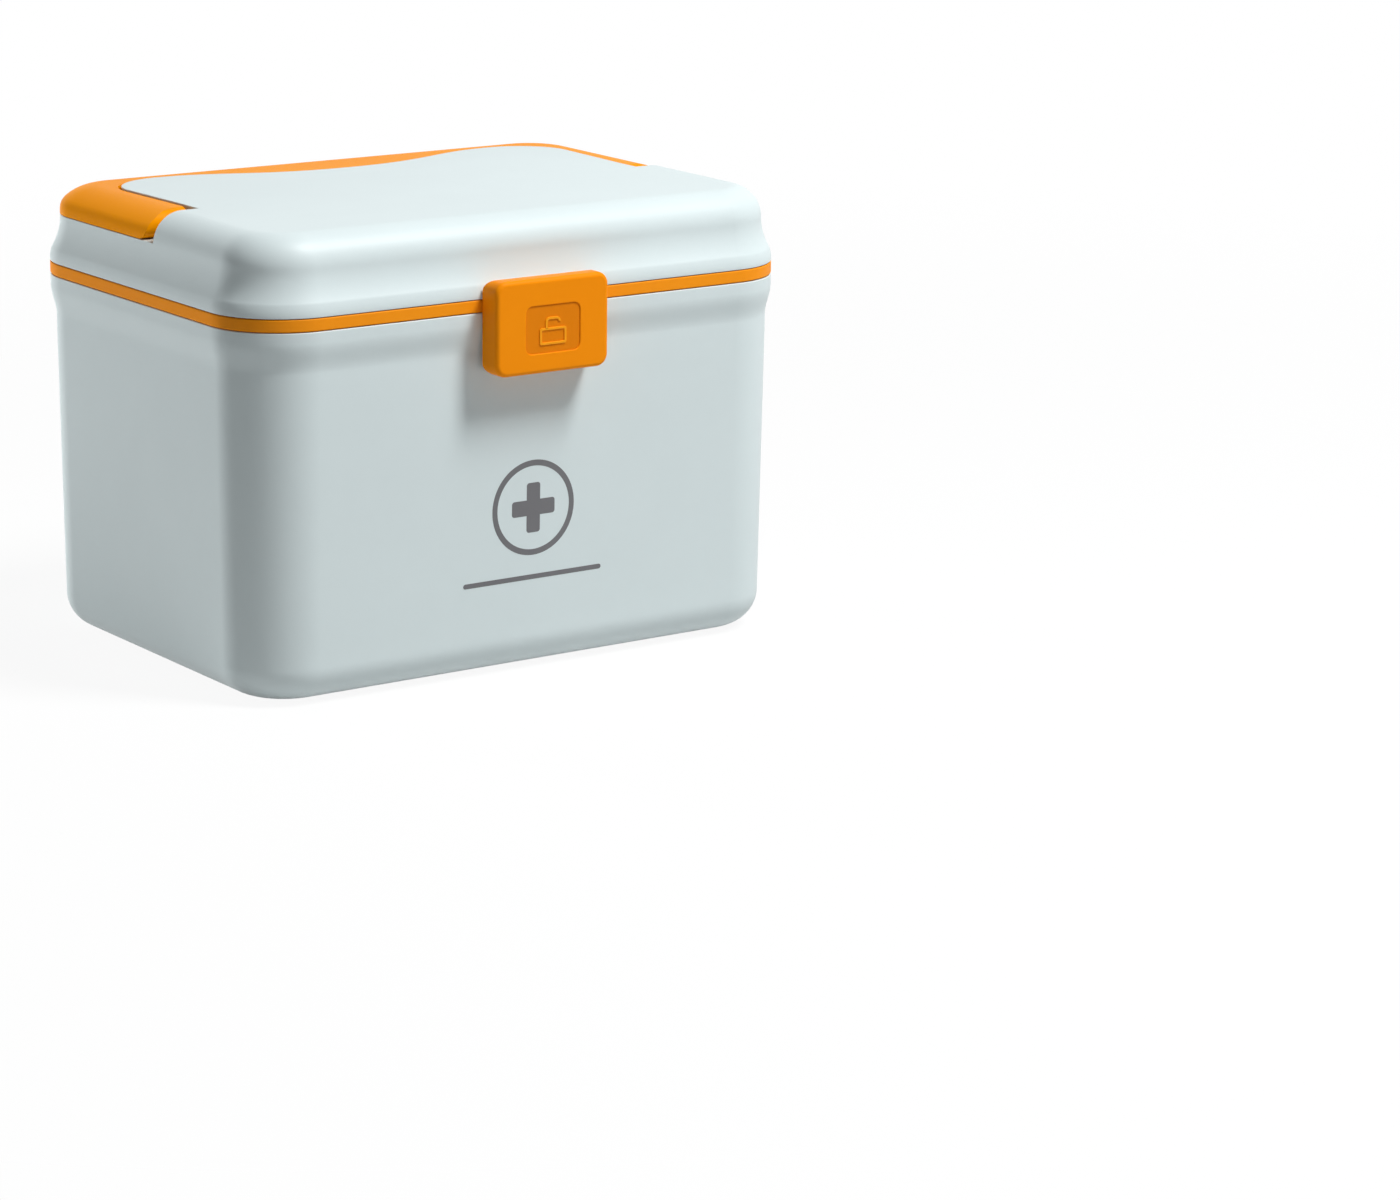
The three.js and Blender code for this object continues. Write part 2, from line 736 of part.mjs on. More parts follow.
function linerScrew() {
  const edge = SCREW_HEAD_HEIGHT / 3;
  const top = -CLEARANCE;
  const profile = [
    new THREE.Vector2(0, top - SCREW_HEAD_HEIGHT),
    new THREE.Vector2(SCREW_HEAD_RADIUS - edge, top - SCREW_HEAD_HEIGHT),
    new THREE.Vector2(SCREW_HEAD_RADIUS, top - SCREW_HEAD_HEIGHT + edge),
    new THREE.Vector2(SCREW_HEAD_RADIUS, top),
    new THREE.Vector2(SCREW_RADIUS, top),
    new THREE.Vector2(SCREW_RADIUS, SCREW_LENGTH - 1.5),
    new THREE.Vector2(0, SCREW_LENGTH),
  ];
  return solidFrom(new THREE.LatheGeometry(profile, PIN_SIDES).rotateX(Math.PI / 2));
}

// Handle

// Ribs that stiffen the hollow underside of the grip
function handleRibs() {
  const ribs = [-2, -1, 0, 1, 2].map((step) => {
    const x = (step * HANDLE_ARCH_X) / 2;
    return block(x - HANDLE_RIB / 2, x + HANDLE_RIB / 2, 0, FAR, 0, LID_TOP);
  });
  return join(...ribs);
}

function handleBow() {
  const envelope = lofted(lidOuterProfile(HANDLE_DROP, 0));
  const middle = raised(bowInside(0, -FAR), 0, LID_TOP + OVERRUN);
  const legs = block(-FAR, FAR, HANDLE_PIVOT_Y, FAR, HANDLE_BOTTOM, LID_TOP);
  const barrels = crosswise(BARREL_RADIUS, -FAR, FAR, HANDLE_PIVOT_Y, HANDLE_PIVOT_Z, 2 * ROUND_SIDES);
  const bow = cut(join(legs, barrels).intersect(envelope), middle);
  const hollowOuter = lofted(lidOuterProfile(HANDLE_DROP, HANDLE_SKIN));
  const hollowInner = raised(bowInside(-HANDLE_SKIN, -FAR), 0, LID_TOP);
  const hollowReach = block(-FAR, FAR, HANDLE_PIVOT_Y + 2 * BARREL_RADIUS, FAR, 0, LID_TOP);
  const hollow = cut(hollowOuter.intersect(hollowReach), hollowInner, handleRibs());
  const boreEnd = HANDLE_FOOT_X + HANDLE_PIN_BITE + CLEARANCE;
  const bore = crosswise(
    HANDLE_PIN_RADIUS + CLEARANCE,
    -boreEnd,
    boreEnd,
    HANDLE_PIVOT_Y,
    HANDLE_PIVOT_Z,
    PIN_SIDES,
  );
  return cut(bow, hollow, bore);
}

// A headed pin along +X from its head, pushed outwards from inside the lid
function handlePin() {
  const reach = HANDLE_PLAY + PIVOT_BOSS_LENGTH + HANDLE_PIN_BITE;
  const head = -CLEARANCE;
  const profile = [
    new THREE.Vector2(0, head - HANDLE_PIN_HEAD),
    new THREE.Vector2(HANDLE_PIN_HEAD_RADIUS, head - HANDLE_PIN_HEAD),
    new THREE.Vector2(HANDLE_PIN_HEAD_RADIUS, head),
    new THREE.Vector2(HANDLE_PIN_RADIUS, head),
    new THREE.Vector2(HANDLE_PIN_RADIUS, reach),
    new THREE.Vector2(0, reach),
  ];
  return solidFrom(new THREE.LatheGeometry(profile, PIN_SIDES).rotateZ(-Math.PI / 2));
}

// Latch

function latchSideOutline() {
  const front = FRONT_REACH;
  const back = LATCH_BACK;
  const round = LATCH_PIN_DROP;
  const edge = LATCH_EDGE;
  const shape = new THREE.Shape();
  shape.moveTo(front + edge, LATCH_BOTTOM);
  shape.lineTo(back - round, LATCH_BOTTOM);
  shape.absarc(back - round, LATCH_BOTTOM + round, round, -Math.PI / 2, 0);
  shape.lineTo(back, LATCH_TOP - round);
  shape.absarc(back - round, LATCH_TOP - round, round, 0, Math.PI / 2);
  shape.lineTo(front + edge, LATCH_TOP);
  shape.absarc(front + edge, LATCH_TOP - edge, edge, Math.PI / 2, Math.PI);
  shape.lineTo(front, LATCH_BOTTOM + edge);
  shape.absarc(front + edge, LATCH_BOTTOM + edge, edge, Math.PI, 1.5 * Math.PI);
  return shape;
}

function latchBlock() {
  const half = LATCH_WIDTH / 2;
  const outline = roundedRectangle(-half, half, LATCH_BOTTOM, LATCH_TOP, LATCH_CORNER);
  return sweptForwards(outline, LATCH_BACK + 1, FRONT_REACH - 1).intersect(
    sweptAcross(latchSideOutline(), -half, half),
  );
}

// The open back of the flap, from its bottom wall up to the knuckles round the pin
function latchHollow() {
  const half = LATCH_WIDTH / 2 - LATCH_SIDE_WALL;
  const front = FRONT_REACH + LATCH_SKIN;
  const low = LATCH_BOTTOM + LATCH_SIDE_WALL;
  const high = LATCH_PIN_Z - LATCH_PIN_DROP;
  return block(-half, half, front, 0, low, high);
}

// The clear space that each ear needs as the flap swings up round it
function earSlots() {
  const half = EAR_WIDTH / 2 + 1.5 * CLEARANCE;
  const round = EAR_RADIUS + 1.5 * CLEARANCE;
  const notch = LATCH_PIN_Z - LID_BASE - EAR_WEB - CLEARANCE;
  const shape = new THREE.Shape();
  shape.moveTo(FRONT_REACH + LATCH_SKIN, LATCH_BOTTOM + LATCH_SIDE_WALL);
  shape.lineTo(0, LATCH_BOTTOM + LATCH_SIDE_WALL);
  shape.lineTo(0, LATCH_TOP + 1);
  shape.lineTo(LATCH_PIN_Y + notch, LATCH_TOP + 1);
  shape.absarc(LATCH_PIN_Y, LATCH_PIN_Z, round, Math.acos(notch / round), Math.PI);
  shape.lineTo(FRONT_REACH + LATCH_SKIN, LATCH_PIN_Z);
  shape.closePath();
  return earCentres().map((x) => sweptAcross(shape, x - half, x + half));
}

function latchLip() {
  const half = CATCH_WIDTH / 2 + 3;
  const base = LATCH_BOTTOM + LATCH_SIDE_WALL;
  return block(-half, half, LATCH_BACK - LATCH_LIP_DEPTH, LATCH_BACK, base - 1, base + LATCH_LIP_HEIGHT);
}

function inlayOutline(grow) {
  const halfX = INLAY_WIDTH / 2 + grow;
  const halfZ = INLAY_HEIGHT / 2 + grow;
  const z = LATCH_TOP - INLAY_CENTRE_DROP;
  return roundedRectangle(-halfX, halfX, z - halfZ, z + halfZ, INLAY_CORNER + grow);
}

function latchFlap() {
  const pocketDepth = INLAY_SINK + INLAY_THICKNESS + CLEARANCE;
  const pocket = sweptForwards(inlayOutline(0), FRONT_REACH + pocketDepth, FRONT_REACH - 1);
  const shell = cut(latchBlock(), latchHollow(), ...earSlots(), pocket);
  const lip = latchLip().intersect(latchBlock());
  return cut(join(shell, lip), latchBore(-LATCH_PIN_LENGTH / 2 - CLEARANCE, LATCH_WIDTH));
}

// A plate with an open padlock figure standing on it in low relief
function latchInlay() {
  const face = FRONT_REACH + INLAY_SINK;
  const plate = sweptForwards(inlayOutline(-CLEARANCE), face + INLAY_THICKNESS, face);
  const z = LATCH_TOP - INLAY_CENTRE_DROP;
  const half = LOCK_WIDTH / 2;
  const lockTop = z + 0.5;
  const lock = roundedRectangle(-half, half, lockTop - LOCK_HEIGHT, lockTop, RELIEF_LINE);
  const inner = RELIEF_LINE;
  lock.holes.push(
    roundedRectangle(
      -half + inner,
      half - inner,
      lockTop - LOCK_HEIGHT + inner,
      lockTop - inner,
      RELIEF_LINE / 2,
    ),
  );
  const relief = face - RELIEF_HEIGHT;
  return join(
    plate,
    sweptForwards(lock, face + 0.2, relief),
    sweptForwards(shackleOutline(lockTop), face + 0.2, relief),
  );
}

// The shackle stands on the lock at its left end and stops short at its right end
function shackleOutline(lockTop) {
  const outer = SHACKLE_WIDTH / 2;
  const line = RELIEF_LINE;
  const bend = 2;
  const top = lockTop + SHACKLE_HEIGHT;
  const shape = new THREE.Shape();
  shape.moveTo(-outer, lockTop - line / 2);
  shape.lineTo(-outer + line, lockTop - line / 2);
  shape.lineTo(-outer + line, top - bend);
  shape.absarc(-outer + bend, top - bend, bend - line, Math.PI, Math.PI / 2, true);
  shape.lineTo(outer - bend, top - line);
  shape.absarc(outer - bend, top - bend, bend - line, Math.PI / 2, 0, true);
  shape.lineTo(outer, top - bend);
  shape.absarc(outer - bend, top - bend, bend, 0, Math.PI / 2);
  shape.lineTo(-outer + bend, top);
  shape.absarc(-outer + bend, top - bend, bend, Math.PI / 2, Math.PI);
  shape.closePath();
  return shape;
}

// Tray

function trayShell() {
  const fillet = new THREE.Path();
  fillet.moveTo(TRAY_INSET + TRAY_FILLET, TRAY_BASE);
  fillet.absarc(
    TRAY_INSET + TRAY_FILLET,
    TRAY_BASE + TRAY_FILLET,
    TRAY_FILLET,
    1.5 * Math.PI,
    Math.PI,
    true,
  );
  fillet.lineTo(TRAY_INSET, TRAY_TOP);
  const flange = straight(TRAY_FLANGE_INSET, FLANGE_BASE, TRAY_TOP);
  const innerFillet = TRAY_FILLET - TRAY_FLOOR;
  const hollow = new THREE.Path();
  hollow.moveTo(TRAY_INNER + innerFillet, TRAY_FLOOR_Z);
  hollow.absarc(
    TRAY_INNER + innerFillet,
    TRAY_FLOOR_Z + innerFillet,
    innerFillet,
    1.5 * Math.PI,
    Math.PI,
    true,
  );
  hollow.lineTo(TRAY_INNER, TRAY_TOP + 1);
  return join(lofted(fillet.getPoints(3)), flange).subtract(lofted(hollow.getPoints(3)));
}

function dividerPlaces() {
  const places = [];
  for (let index = 0; index < DIVIDER_COUNT; index++) {
    places.push((index - (DIVIDER_COUNT - 1) / 2) * DIVIDER_SPACING);
  }
  return places;
}

// Walls between the compartments, and the ribs that hold each divider on both its sides
function trayPartitions() {
  const top = TRAY_TOP - TRAY_WALL_DROP;
  const base = TRAY_FLOOR_Z - TRAY_FLOOR / 2;
  const half = TRAY_WALL / 2;
  const wallFace = -HALF_DEPTH + TRAY_INNER;
  const splitFace = TRAY_SPLIT_Y - half;
  const walls = [block(-HALF_WIDTH, HALF_WIDTH, TRAY_SPLIT_Y - half, TRAY_SPLIT_Y + half, base, top)];
  for (const x of [-TRAY_CROSS_X, TRAY_CROSS_X]) {
    walls.push(block(x - half, x + half, TRAY_SPLIT_Y, HALF_DEPTH, base, top));
  }
  const slot = DIVIDER_THICKNESS / 2 + CLEARANCE;
  for (const x of dividerPlaces()) {
    for (const side of [-1, 1]) {
      const near = x + side * slot;
      const far = x + side * (slot + SLOT_RIB_WIDTH);
      const x0 = Math.min(near, far);
      const x1 = Math.max(near, far);
      walls.push(block(x0, x1, -HALF_DEPTH, wallFace + SLOT_RIB_DEPTH, base, top));
      walls.push(block(x0, x1, splitFace - SLOT_RIB_DEPTH, TRAY_SPLIT_Y, base, top));
    }
  }
  return join(...walls).intersect(straight(TRAY_INSET + TRAY_WALL / 2, base, TRAY_TOP));
}

// Upright tabs at the tray's ends, each with a slot for the fingertips
function liftTabs() {
  const half = TAB_WIDTH / 2;
  const slotHalf = TAB_SLOT_WIDTH / 2;
  const top = TRAY_TOP + TAB_RISE;
  const slotBase = TRAY_TOP + TAB_SLOT_WEB;
  const slotTop = top - TAB_SLOT_WEB;
  const slotCorner = (slotTop - slotBase) / 2 - SLOT_FLAT;
  const outer = HALF_WIDTH - TRAY_INSET;
  const inner = HALF_WIDTH - TRAY_INNER;
  const shape = roundedRectangle(-half, half, FLANGE_BASE, top, TAB_CORNER);
  const slotShape = roundedRectangle(-slotHalf, slotHalf, slotBase, slotTop, slotCorner);
  const root = block(inner, outer, -half, half, FLANGE_BASE - TAB_CORNER, FLANGE_BASE + TAB_CORNER);
  const slot = sweptAcross(slotShape, inner - OVERRUN, outer + OVERRUN);
  const tab = cut(join(sweptAcross(shape, inner, outer), root), slot);
  return join(tab, tab.mirror([1, 0, 0]));
}

function innerTray() {
  return join(trayShell(), trayPartitions(), liftTabs());
}

// A loose divider that drops between the tray's front wall and its long wall
function trayDivider() {
  const front = -HALF_DEPTH + TRAY_INNER + CLEARANCE;
  const back = TRAY_SPLIT_Y - TRAY_WALL / 2 - CLEARANCE;
  const base = TRAY_FLOOR_Z + CLEARANCE;
  const top = TRAY_TOP - DIVIDER_DROP;
  const middle = (front + back) / 2;
  const lift = Math.max(TRAY_FILLET - TRAY_FLOOR, 1);
  const shape = new THREE.Shape();
  shape.moveTo(front + lift, base);
  shape.lineTo(back, base);
  shape.lineTo(back, top);
  shape.lineTo(middle + DIVIDER_NOTCH, top);
  shape.absarc(middle, top, DIVIDER_NOTCH, 0, Math.PI, true);
  shape.lineTo(front, top);
  shape.lineTo(front, base + lift);
  shape.closePath();
  return sweptAcross(shape, -DIVIDER_THICKNESS / 2, DIVIDER_THICKNESS / 2);
}

// Hinge and latch pins

function hingePin() {
  const length = HINGE_WIDTH - 2 * HINGE_PIN_INSET;
  return crosswise(HINGE_PIN_RADIUS, -length / 2, length / 2, 0, 0, PIN_SIDES);
}

function latchPin() {
  return crosswise(LATCH_PIN_RADIUS, -LATCH_PIN_LENGTH / 2, LATCH_PIN_LENGTH / 2, 0, 0, PIN_SIDES);
}

// Finishes

function finish(color, roughness, metalness = 0) {
  return new THREE.MeshStandardMaterial({ color, roughness, metalness });
}

const palePlastic = finish(0xc9d4d6, 0.42);
const orangePlastic = finish(0xf59316, 0.45);
const deepOrangePlastic = finish(0xde780f, 0.6);
const orangeRubber = finish(0xf08a14, 0.7);
const trayPlastic = finish(0xe9eef0, 0.35);
const dividerPlastic = finish(0xdfe7ea, 0.3);
const greyRubber = finish(0x8e9698, 0.85);
const steel = finish(0xc4c7ca, 0.3, 1);

function named(name, solid, material, x = 0, y = 0, z = 0) {
  const mesh = new THREE.Mesh(geometryFrom(solid), material);
  mesh.name = name;
  mesh.position.set(x, y, z);
  return mesh;
}

// Assembly

const box = new THREE.Group();

const tubGroup = new THREE.Group();
tubGroup.add(named("body_tub", bodyTub(), palePlastic));
tubGroup.add(named("seal_band", sealBand(), orangeRubber));
for (const [place, x, y] of footPlaces()) {
  tubGroup.add(named("foot_pad_" + place, footPad(), greyRubber, x, y));
}
for (const [side, x] of hingeCentres()) {
  tubGroup.add(named("hinge_pin_" + side, hingePin(), steel, x, HINGE_AXIS_Y, HINGE_AXIS_Z));
}
box.add(tubGroup);

const lidGroup = new THREE.Group();
lidGroup.add(named("lid_shell", lidShell(), palePlastic));
lidGroup.add(named("lid_liner", lidLiner(), palePlastic));
screwPlaces().forEach(([x, y], index) => {
  lidGroup.add(named("liner_screw_" + (index + 1), linerScrew(), steel, x, y, LINER_BASE));
});
const bossFace = HANDLE_FOOT_X - HANDLE_PLAY - PIVOT_BOSS_LENGTH;
for (const [place, side] of [
  ["left", -1],
  ["right", 1],
]) {
  const pin = named("handle_pin_" + place, handlePin(), steel);
  pin.rotation.z = side < 0 ? Math.PI : 0;
  pin.position.set(side * bossFace, HANDLE_PIVOT_Y, HANDLE_PIVOT_Z);
  lidGroup.add(pin);
}
lidGroup.add(named("latch_pin", latchPin(), steel, 0, LATCH_PIN_Y, LATCH_PIN_Z));
box.add(lidGroup);

const handleGroup = new THREE.Group();
handleGroup.add(named("handle", handleBow(), orangePlastic));
lidGroup.add(handleGroup);

const latchGroup = new THREE.Group();
latchGroup.add(named("latch_flap", latchFlap(), orangePlastic));
latchGroup.add(named("latch_inlay", latchInlay(), deepOrangePlastic));
lidGroup.add(latchGroup);

const trayGroup = new THREE.Group();
trayGroup.add(named("inner_tray", innerTray(), trayPlastic));
dividerPlaces().forEach((x, index) => {
  trayGroup.add(named("tray_divider_" + (index + 1), trayDivider(), dividerPlastic, x));
});
box.add(trayGroup);

export default box;
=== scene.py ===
"""Looks of the medicine storage box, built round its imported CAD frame.

Sizes are in millimetres. Each piece is modelled in millimetres and put into the frame in metres, so that
its place is in its mesh. +Z is up, the latch is at -Y and the hinges are at +Y.
"""

import json
import logging
import math
from dataclasses import dataclass
from enum import Enum
from typing import Callable, Iterable, Sequence

import bmesh
import bpy
from bmesh.types import BMesh, BMEdge, BMFace, BMVert
from bpy.types import NodeSocket
from mathutils import Euler, Matrix, Vector


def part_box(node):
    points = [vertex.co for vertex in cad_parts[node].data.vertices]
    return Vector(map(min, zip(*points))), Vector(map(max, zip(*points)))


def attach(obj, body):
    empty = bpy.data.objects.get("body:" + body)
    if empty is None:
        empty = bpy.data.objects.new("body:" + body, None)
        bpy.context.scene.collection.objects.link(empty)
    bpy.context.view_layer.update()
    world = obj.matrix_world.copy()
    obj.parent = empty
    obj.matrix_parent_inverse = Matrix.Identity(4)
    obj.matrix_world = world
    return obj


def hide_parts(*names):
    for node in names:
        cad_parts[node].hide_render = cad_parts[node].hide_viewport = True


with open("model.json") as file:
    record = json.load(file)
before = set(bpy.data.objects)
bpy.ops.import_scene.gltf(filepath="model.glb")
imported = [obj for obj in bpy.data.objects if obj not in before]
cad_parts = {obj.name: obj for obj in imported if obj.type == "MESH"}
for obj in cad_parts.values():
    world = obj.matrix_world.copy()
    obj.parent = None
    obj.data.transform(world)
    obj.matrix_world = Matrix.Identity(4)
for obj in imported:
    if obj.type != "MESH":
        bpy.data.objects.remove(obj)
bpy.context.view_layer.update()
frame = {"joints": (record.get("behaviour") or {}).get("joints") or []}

LOG = logging.getLogger("medicine_box")

Pair = tuple[float, float]
Triple = tuple[float, float, float]
Tone = tuple[int, int, int]
Feed = NodeSocket | float | Sequence[float]
Feeds = dict[str | int, Feed]

MM = 0.001
CLEARANCE = 0.3
SIDES = ("left", "right")

# How far a cutter reaches past the whole box, and past the face that it opens
FAR = 300.0
PAST = 5.0

# How near an edge counts as on a face, and how near two vertices count as one
NEAR = 0.1
WELD = 1e-4

# The least angle in degrees at which an edge is shaded sharp, and at which a blunt edge is rounded
SHADED_SHARP = 32.0
BLUNT = 35.0


class Body(Enum):
    """The moving bodies of the frame."""

    TUB = "tub"
    LID = "lid"
    HANDLE = "carrying_handle"
    LATCH = "latch"
    TRAY = "tray"


class Solid(Enum):
    """How one solid works on another."""

    CUT = "DIFFERENCE"
    KEEP_COMMON = "INTERSECT"
    ADD = "UNION"


# What is read from the frame


def axis_of(joint: str) -> Pair:
    """Gives the y and z of a hinge's axis in millimetres."""
    place = next(row["pos_m"] for row in frame["joints"] if row["name"] == joint)
    return round(place[1] / MM, 3), round(place[2] / MM, 3)


def face_of(node: str, face: str) -> float:
    """Gives where one face of a CAD node's box lies, in millimetres. Its top, for one, is the face +z."""
    return round(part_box(node)["-+".index(face[0])]["xyz".index(face[1])] / MM, 3)


def spot_of(node: str) -> tuple[list[float], list[float]]:
    """Gives the middle and the size of a CAD node's box in millimetres."""
    spans = [(face_of(node, "-" + axis), face_of(node, "+" + axis)) for axis in "xyz"]
    return [(low + high) / 2 for low, high in spans], [high - low for low, high in spans]


LID_AXIS = axis_of("lid_hinge")
HANDLE_AXIS = axis_of("handle_pivot")
LATCH_AXIS = axis_of("latch_pivot")
HINGES_X = [spot_of("hinge_pin_" + side)[0][0] for side in SIDES]
DIVIDERS_X = [spot_of("tray_divider_" + number)[0][0] for number in "123"]


# Finishes


def linear(tone: Tone) -> tuple[float, float, float, float]:
    """Turns a colour in 0 to 255 steps into a shader's linear colour.

    Args:
        tone: Red, green and blue.

    Returns:
        The linear colour with full opacity.
    """

    def channel(value: int) -> float:
        """Decodes one channel."""
        share = value / 255
        return share / 12.92 if share <= 0.04045 else ((share + 0.055) / 1.055) ** 2.4

    red, green, blue = (channel(value) for value in tone)
    return red, green, blue, 1.0


@dataclass(frozen=True)
class Wiring:
    """Adds nodes to one tree and joins them."""

    tree: bpy.types.NodeTree

    def node(self, kind: str, output: str, inputs: Feeds | None = None, **options: str) -> NodeSocket:
        """Adds a node.

        Args:
            kind: Its type.
            output: The output that is wanted.
            inputs: What its inputs are fed.
            **options: Its own settings.

        Returns:
            The wanted output.
        """
        made = self.tree.nodes.new("ShaderNode" + kind)
        for option, value in options.items():
            setattr(made, option, value)
        self.feed(made, inputs or {})
        return made.outputs[output]

    def feed(self, node: bpy.types.Node, inputs: Feeds) -> None:
        """Feeds a node's inputs.

        Args:
            node: The node.
            inputs: For each input a value or the output that it is joined to.
        """
        for name, value in inputs.items():
            if isinstance(value, NodeSocket):
                self.tree.links.new(value, node.inputs[name])
            else:
                node.inputs[name].default_value = value

    def tint(self, share: NodeSocket, ends: Pair, dark: Tone, light: Tone) -> NodeSocket:
        """Adds a run from a dark to a light tone.

        Args:
            share: What it runs along.
            ends: Where it starts and stops.
            dark: Its first colour.
            light: Its last colour.

        Returns:
            The colour.
        """
        ramp = self.tree.nodes.new("ShaderNodeValToRGB")
        for element, position, tone in zip(ramp.color_ramp.elements, ends, (dark, light)):
            element.position = position
            element.color = linear(tone)
        self.feed(ramp, {"Fac": share})
        return ramp.outputs["Color"]

    def spread(self, value: NodeSocket, found: Pair, wanted: Pair, way: str = "LINEAR") -> NodeSocket:
        """Maps one range of values onto another.

        Args:
            value: The value.
            found: The range that it has.
            wanted: The range that it gets.
            way: How it goes from end to end.

        Returns:
            The mapped value.
        """
        ends = dict(zip(("From Min", "From Max", "To Min", "To Max"), (*found, *wanted)))
        return self.node("MapRange", "Result", {"Value": value, **ends}, interpolation_type=way)

    def mix(self, share: Feed, first: NodeSocket, second: NodeSocket) -> NodeSocket:
        """Mixes two shaders by the share of the second."""
        return self.node("MixShader", "Shader", {"Fac": share, 1: first, 2: second})


@dataclass(frozen=True)
class Finish:
    """What every finish has: its name, the record's slot, two tones and a range of roughness."""

    name: str
    slot: str
    light: Tone
    dark: Tone
    roughness: Pair

    def material(self) -> bpy.types.Material:
        """Builds the material once and hands it out again later.

        Returns:
            The material.
        """
        known = bpy.data.materials.get(self.name)
        if known:
            return known
        made = bpy.data.materials.new(self.name)
        made.use_nodes = True
        wires = Wiring(made.node_tree)
        wires.feed(made.node_tree.nodes["Principled BSDF"], self.surface(wires))
        return made

    def surface(self, wires: Wiring) -> Feeds:
        """Adds the finish's nodes and says what they feed the shader."""
        raise NotImplementedError


@dataclass(frozen=True)
class MouldedFinish(Finish):
    """A moulded plastic or rubber with a fine grain and a slight cloudiness of colour."""

    specular: float = 0.5
    grain_scale: float = 1500.0
    grain_depth: float = 0.06
    grain_detail: float = 3.0
    grain_height: float = 0.0002
    cloud_scale: float = 14.0
    cloud_detail: float = 5.0
    cloud_roughness: float = 0.6
    contrast: Pair = (0.3, 0.7)

    def surface(self, wires: Wiring) -> Feeds:
        """Adds the clouds and the grain.

        Args:
            wires: The material's nodes.

        Returns:
            What the shader is fed.
        """
        place = wires.node("TexCoord", "Object")
        clouds = {"Scale": self.cloud_scale, "Detail": self.cloud_detail, "Roughness": self.cloud_roughness}
        cloud = wires.node("TexNoise", "Fac", {"Vector": place, **clouds})
        grains = {"Scale": self.grain_scale, "Detail": self.grain_detail}
        grain = wires.node("TexNoise", "Fac", {"Vector": place, **grains})
        relief = {"Height": grain, "Strength": self.grain_depth, "Distance": self.grain_height}
        return {
            "Base Color": wires.tint(cloud, self.contrast, self.dark, self.light),
            "Roughness": wires.spread(grain, self.contrast, self.roughness),
            "Normal": wires.node("Bump", "Normal", relief),
            "Specular IOR Level": self.specular,
        }


@dataclass(frozen=True)
class MetalFinish(Finish):
    """A plated steel with fine drawing marks along its length."""

    marks_scale: Triple = (60.0, 2400.0, 2400.0)
    marks_detail: float = 4.0
    contrast: Pair = (0.35, 0.65)

    def surface(self, wires: Wiring) -> Feeds:
        """Adds the drawing marks.

        Args:
            wires: The material's nodes.

        Returns:
            What the shader is fed.
        """
        place = wires.node("TexCoord", "Object")
        drawn = wires.node("Mapping", "Vector", {"Vector": place, "Scale": self.marks_scale})
        marks = wires.node("TexNoise", "Fac", {"Vector": drawn, "Scale": 1.0, "Detail": self.marks_detail})
        return {
            "Base Color": wires.tint(marks, self.contrast, self.dark, self.light),
            "Roughness": wires.spread(marks, (0.0, 1.0), self.roughness),
            "Metallic": 1.0,
        }


PALE_SHELL = MouldedFinish(
    "pale_shell", "shell_plastic", (220, 232, 233), (217, 229, 230), (0.42, 0.48), specular=0.35
)
ORANGE_HANDLE = MouldedFinish(
    "orange_handle", "handle_plastic", (255, 159, 2), (252, 154, 1), (0.36, 0.44), specular=0.03
)
ORANGE_LATCH = MouldedFinish(
    "orange_latch", "handle_plastic", (255, 150, 12), (252, 145, 10), (0.36, 0.44), specular=0.05
)
# The window's orange is darker than the flap's: partly its own textured tone, partly painted shade of its
# shallow recess.
WINDOW_ORANGE_TONE_AND_SHADE = MouldedFinish(
    "window_orange_tone_and_shade",
    "inlay_plastic",
    (235, 133, 0),
    (230, 128, 0),
    (0.5, 0.62),
    specular=0.12,
    grain_scale=900.0,
    grain_depth=0.25,
)
# The lock figure is painted a lighter orange than the window: a painted highlight on its raised lines.
PAINTED_HIGHLIGHT_RELIEF = MouldedFinish(
    "painted_highlight_relief", "inlay_plastic", (255, 166, 14), (253, 162, 12), (0.4, 0.5), specular=0.2
)
SOFT_BAND = MouldedFinish(
    "soft_band", "seal_rubber", (255, 155, 8), (251, 150, 6), (0.5, 0.62), specular=0.2, grain_depth=0.1
)
FOOT_RUBBER = MouldedFinish(
    "foot_rubber", "foot_rubber", (138, 144, 146), (126, 132, 134), (0.7, 0.85), grain_depth=0.3
)
TRAY_WHITE = MouldedFinish("tray_white", "tray_plastic", (226, 232, 234), (220, 227, 229), (0.34, 0.44))
DIVIDER_WHITE = MouldedFinish(
    "divider_white", "divider_plastic", (218, 226, 229), (212, 221, 224), (0.2, 0.28)
)
PRINT_GREY = MouldedFinish("print_grey", "shell_plastic", (112, 112, 115), (104, 104, 107), (0.42, 0.5))
PIN_STEEL = MetalFinish("pin_steel", "pin_steel", (206, 208, 210), (176, 178, 181), (0.22, 0.42))


# Objects and meshes


def linked(name: str, data: bpy.types.ID) -> bpy.types.Object:
    """Makes an object and links it into the scene.

    Args:
        name: Its name.
        data: What it shows.

    Returns:
        The object.
    """
    made = bpy.data.objects.new(name, data)
    bpy.context.scene.collection.objects.link(made)
    return made


def from_mesh(mesh: bpy.types.Mesh) -> BMesh:
    """Reads a mesh into an editable one.

    Args:
        mesh: The mesh. It is used up.

    Returns:
        The editable mesh.
    """
    bm = bmesh.new()
    bm.from_mesh(mesh)
    bpy.data.meshes.remove(mesh)
    return bm


def to_mesh(bm: BMesh, name: str) -> bpy.types.Mesh:
    """Writes an editable mesh out.

    Args:
        bm: The editable mesh. It is used up.
        name: Name of the mesh.

    Returns:
        The mesh.
    """
    mesh = bpy.data.meshes.new(name)
    bm.to_mesh(mesh)
    bm.free()
    return mesh


def applied(thing: bpy.types.Object) -> bpy.types.Mesh:
    """Gives an object's mesh as its modifiers leave it."""
    graph = bpy.context.evaluated_depsgraph_get()
    return bpy.data.meshes.new_from_object(thing.evaluated_get(graph))


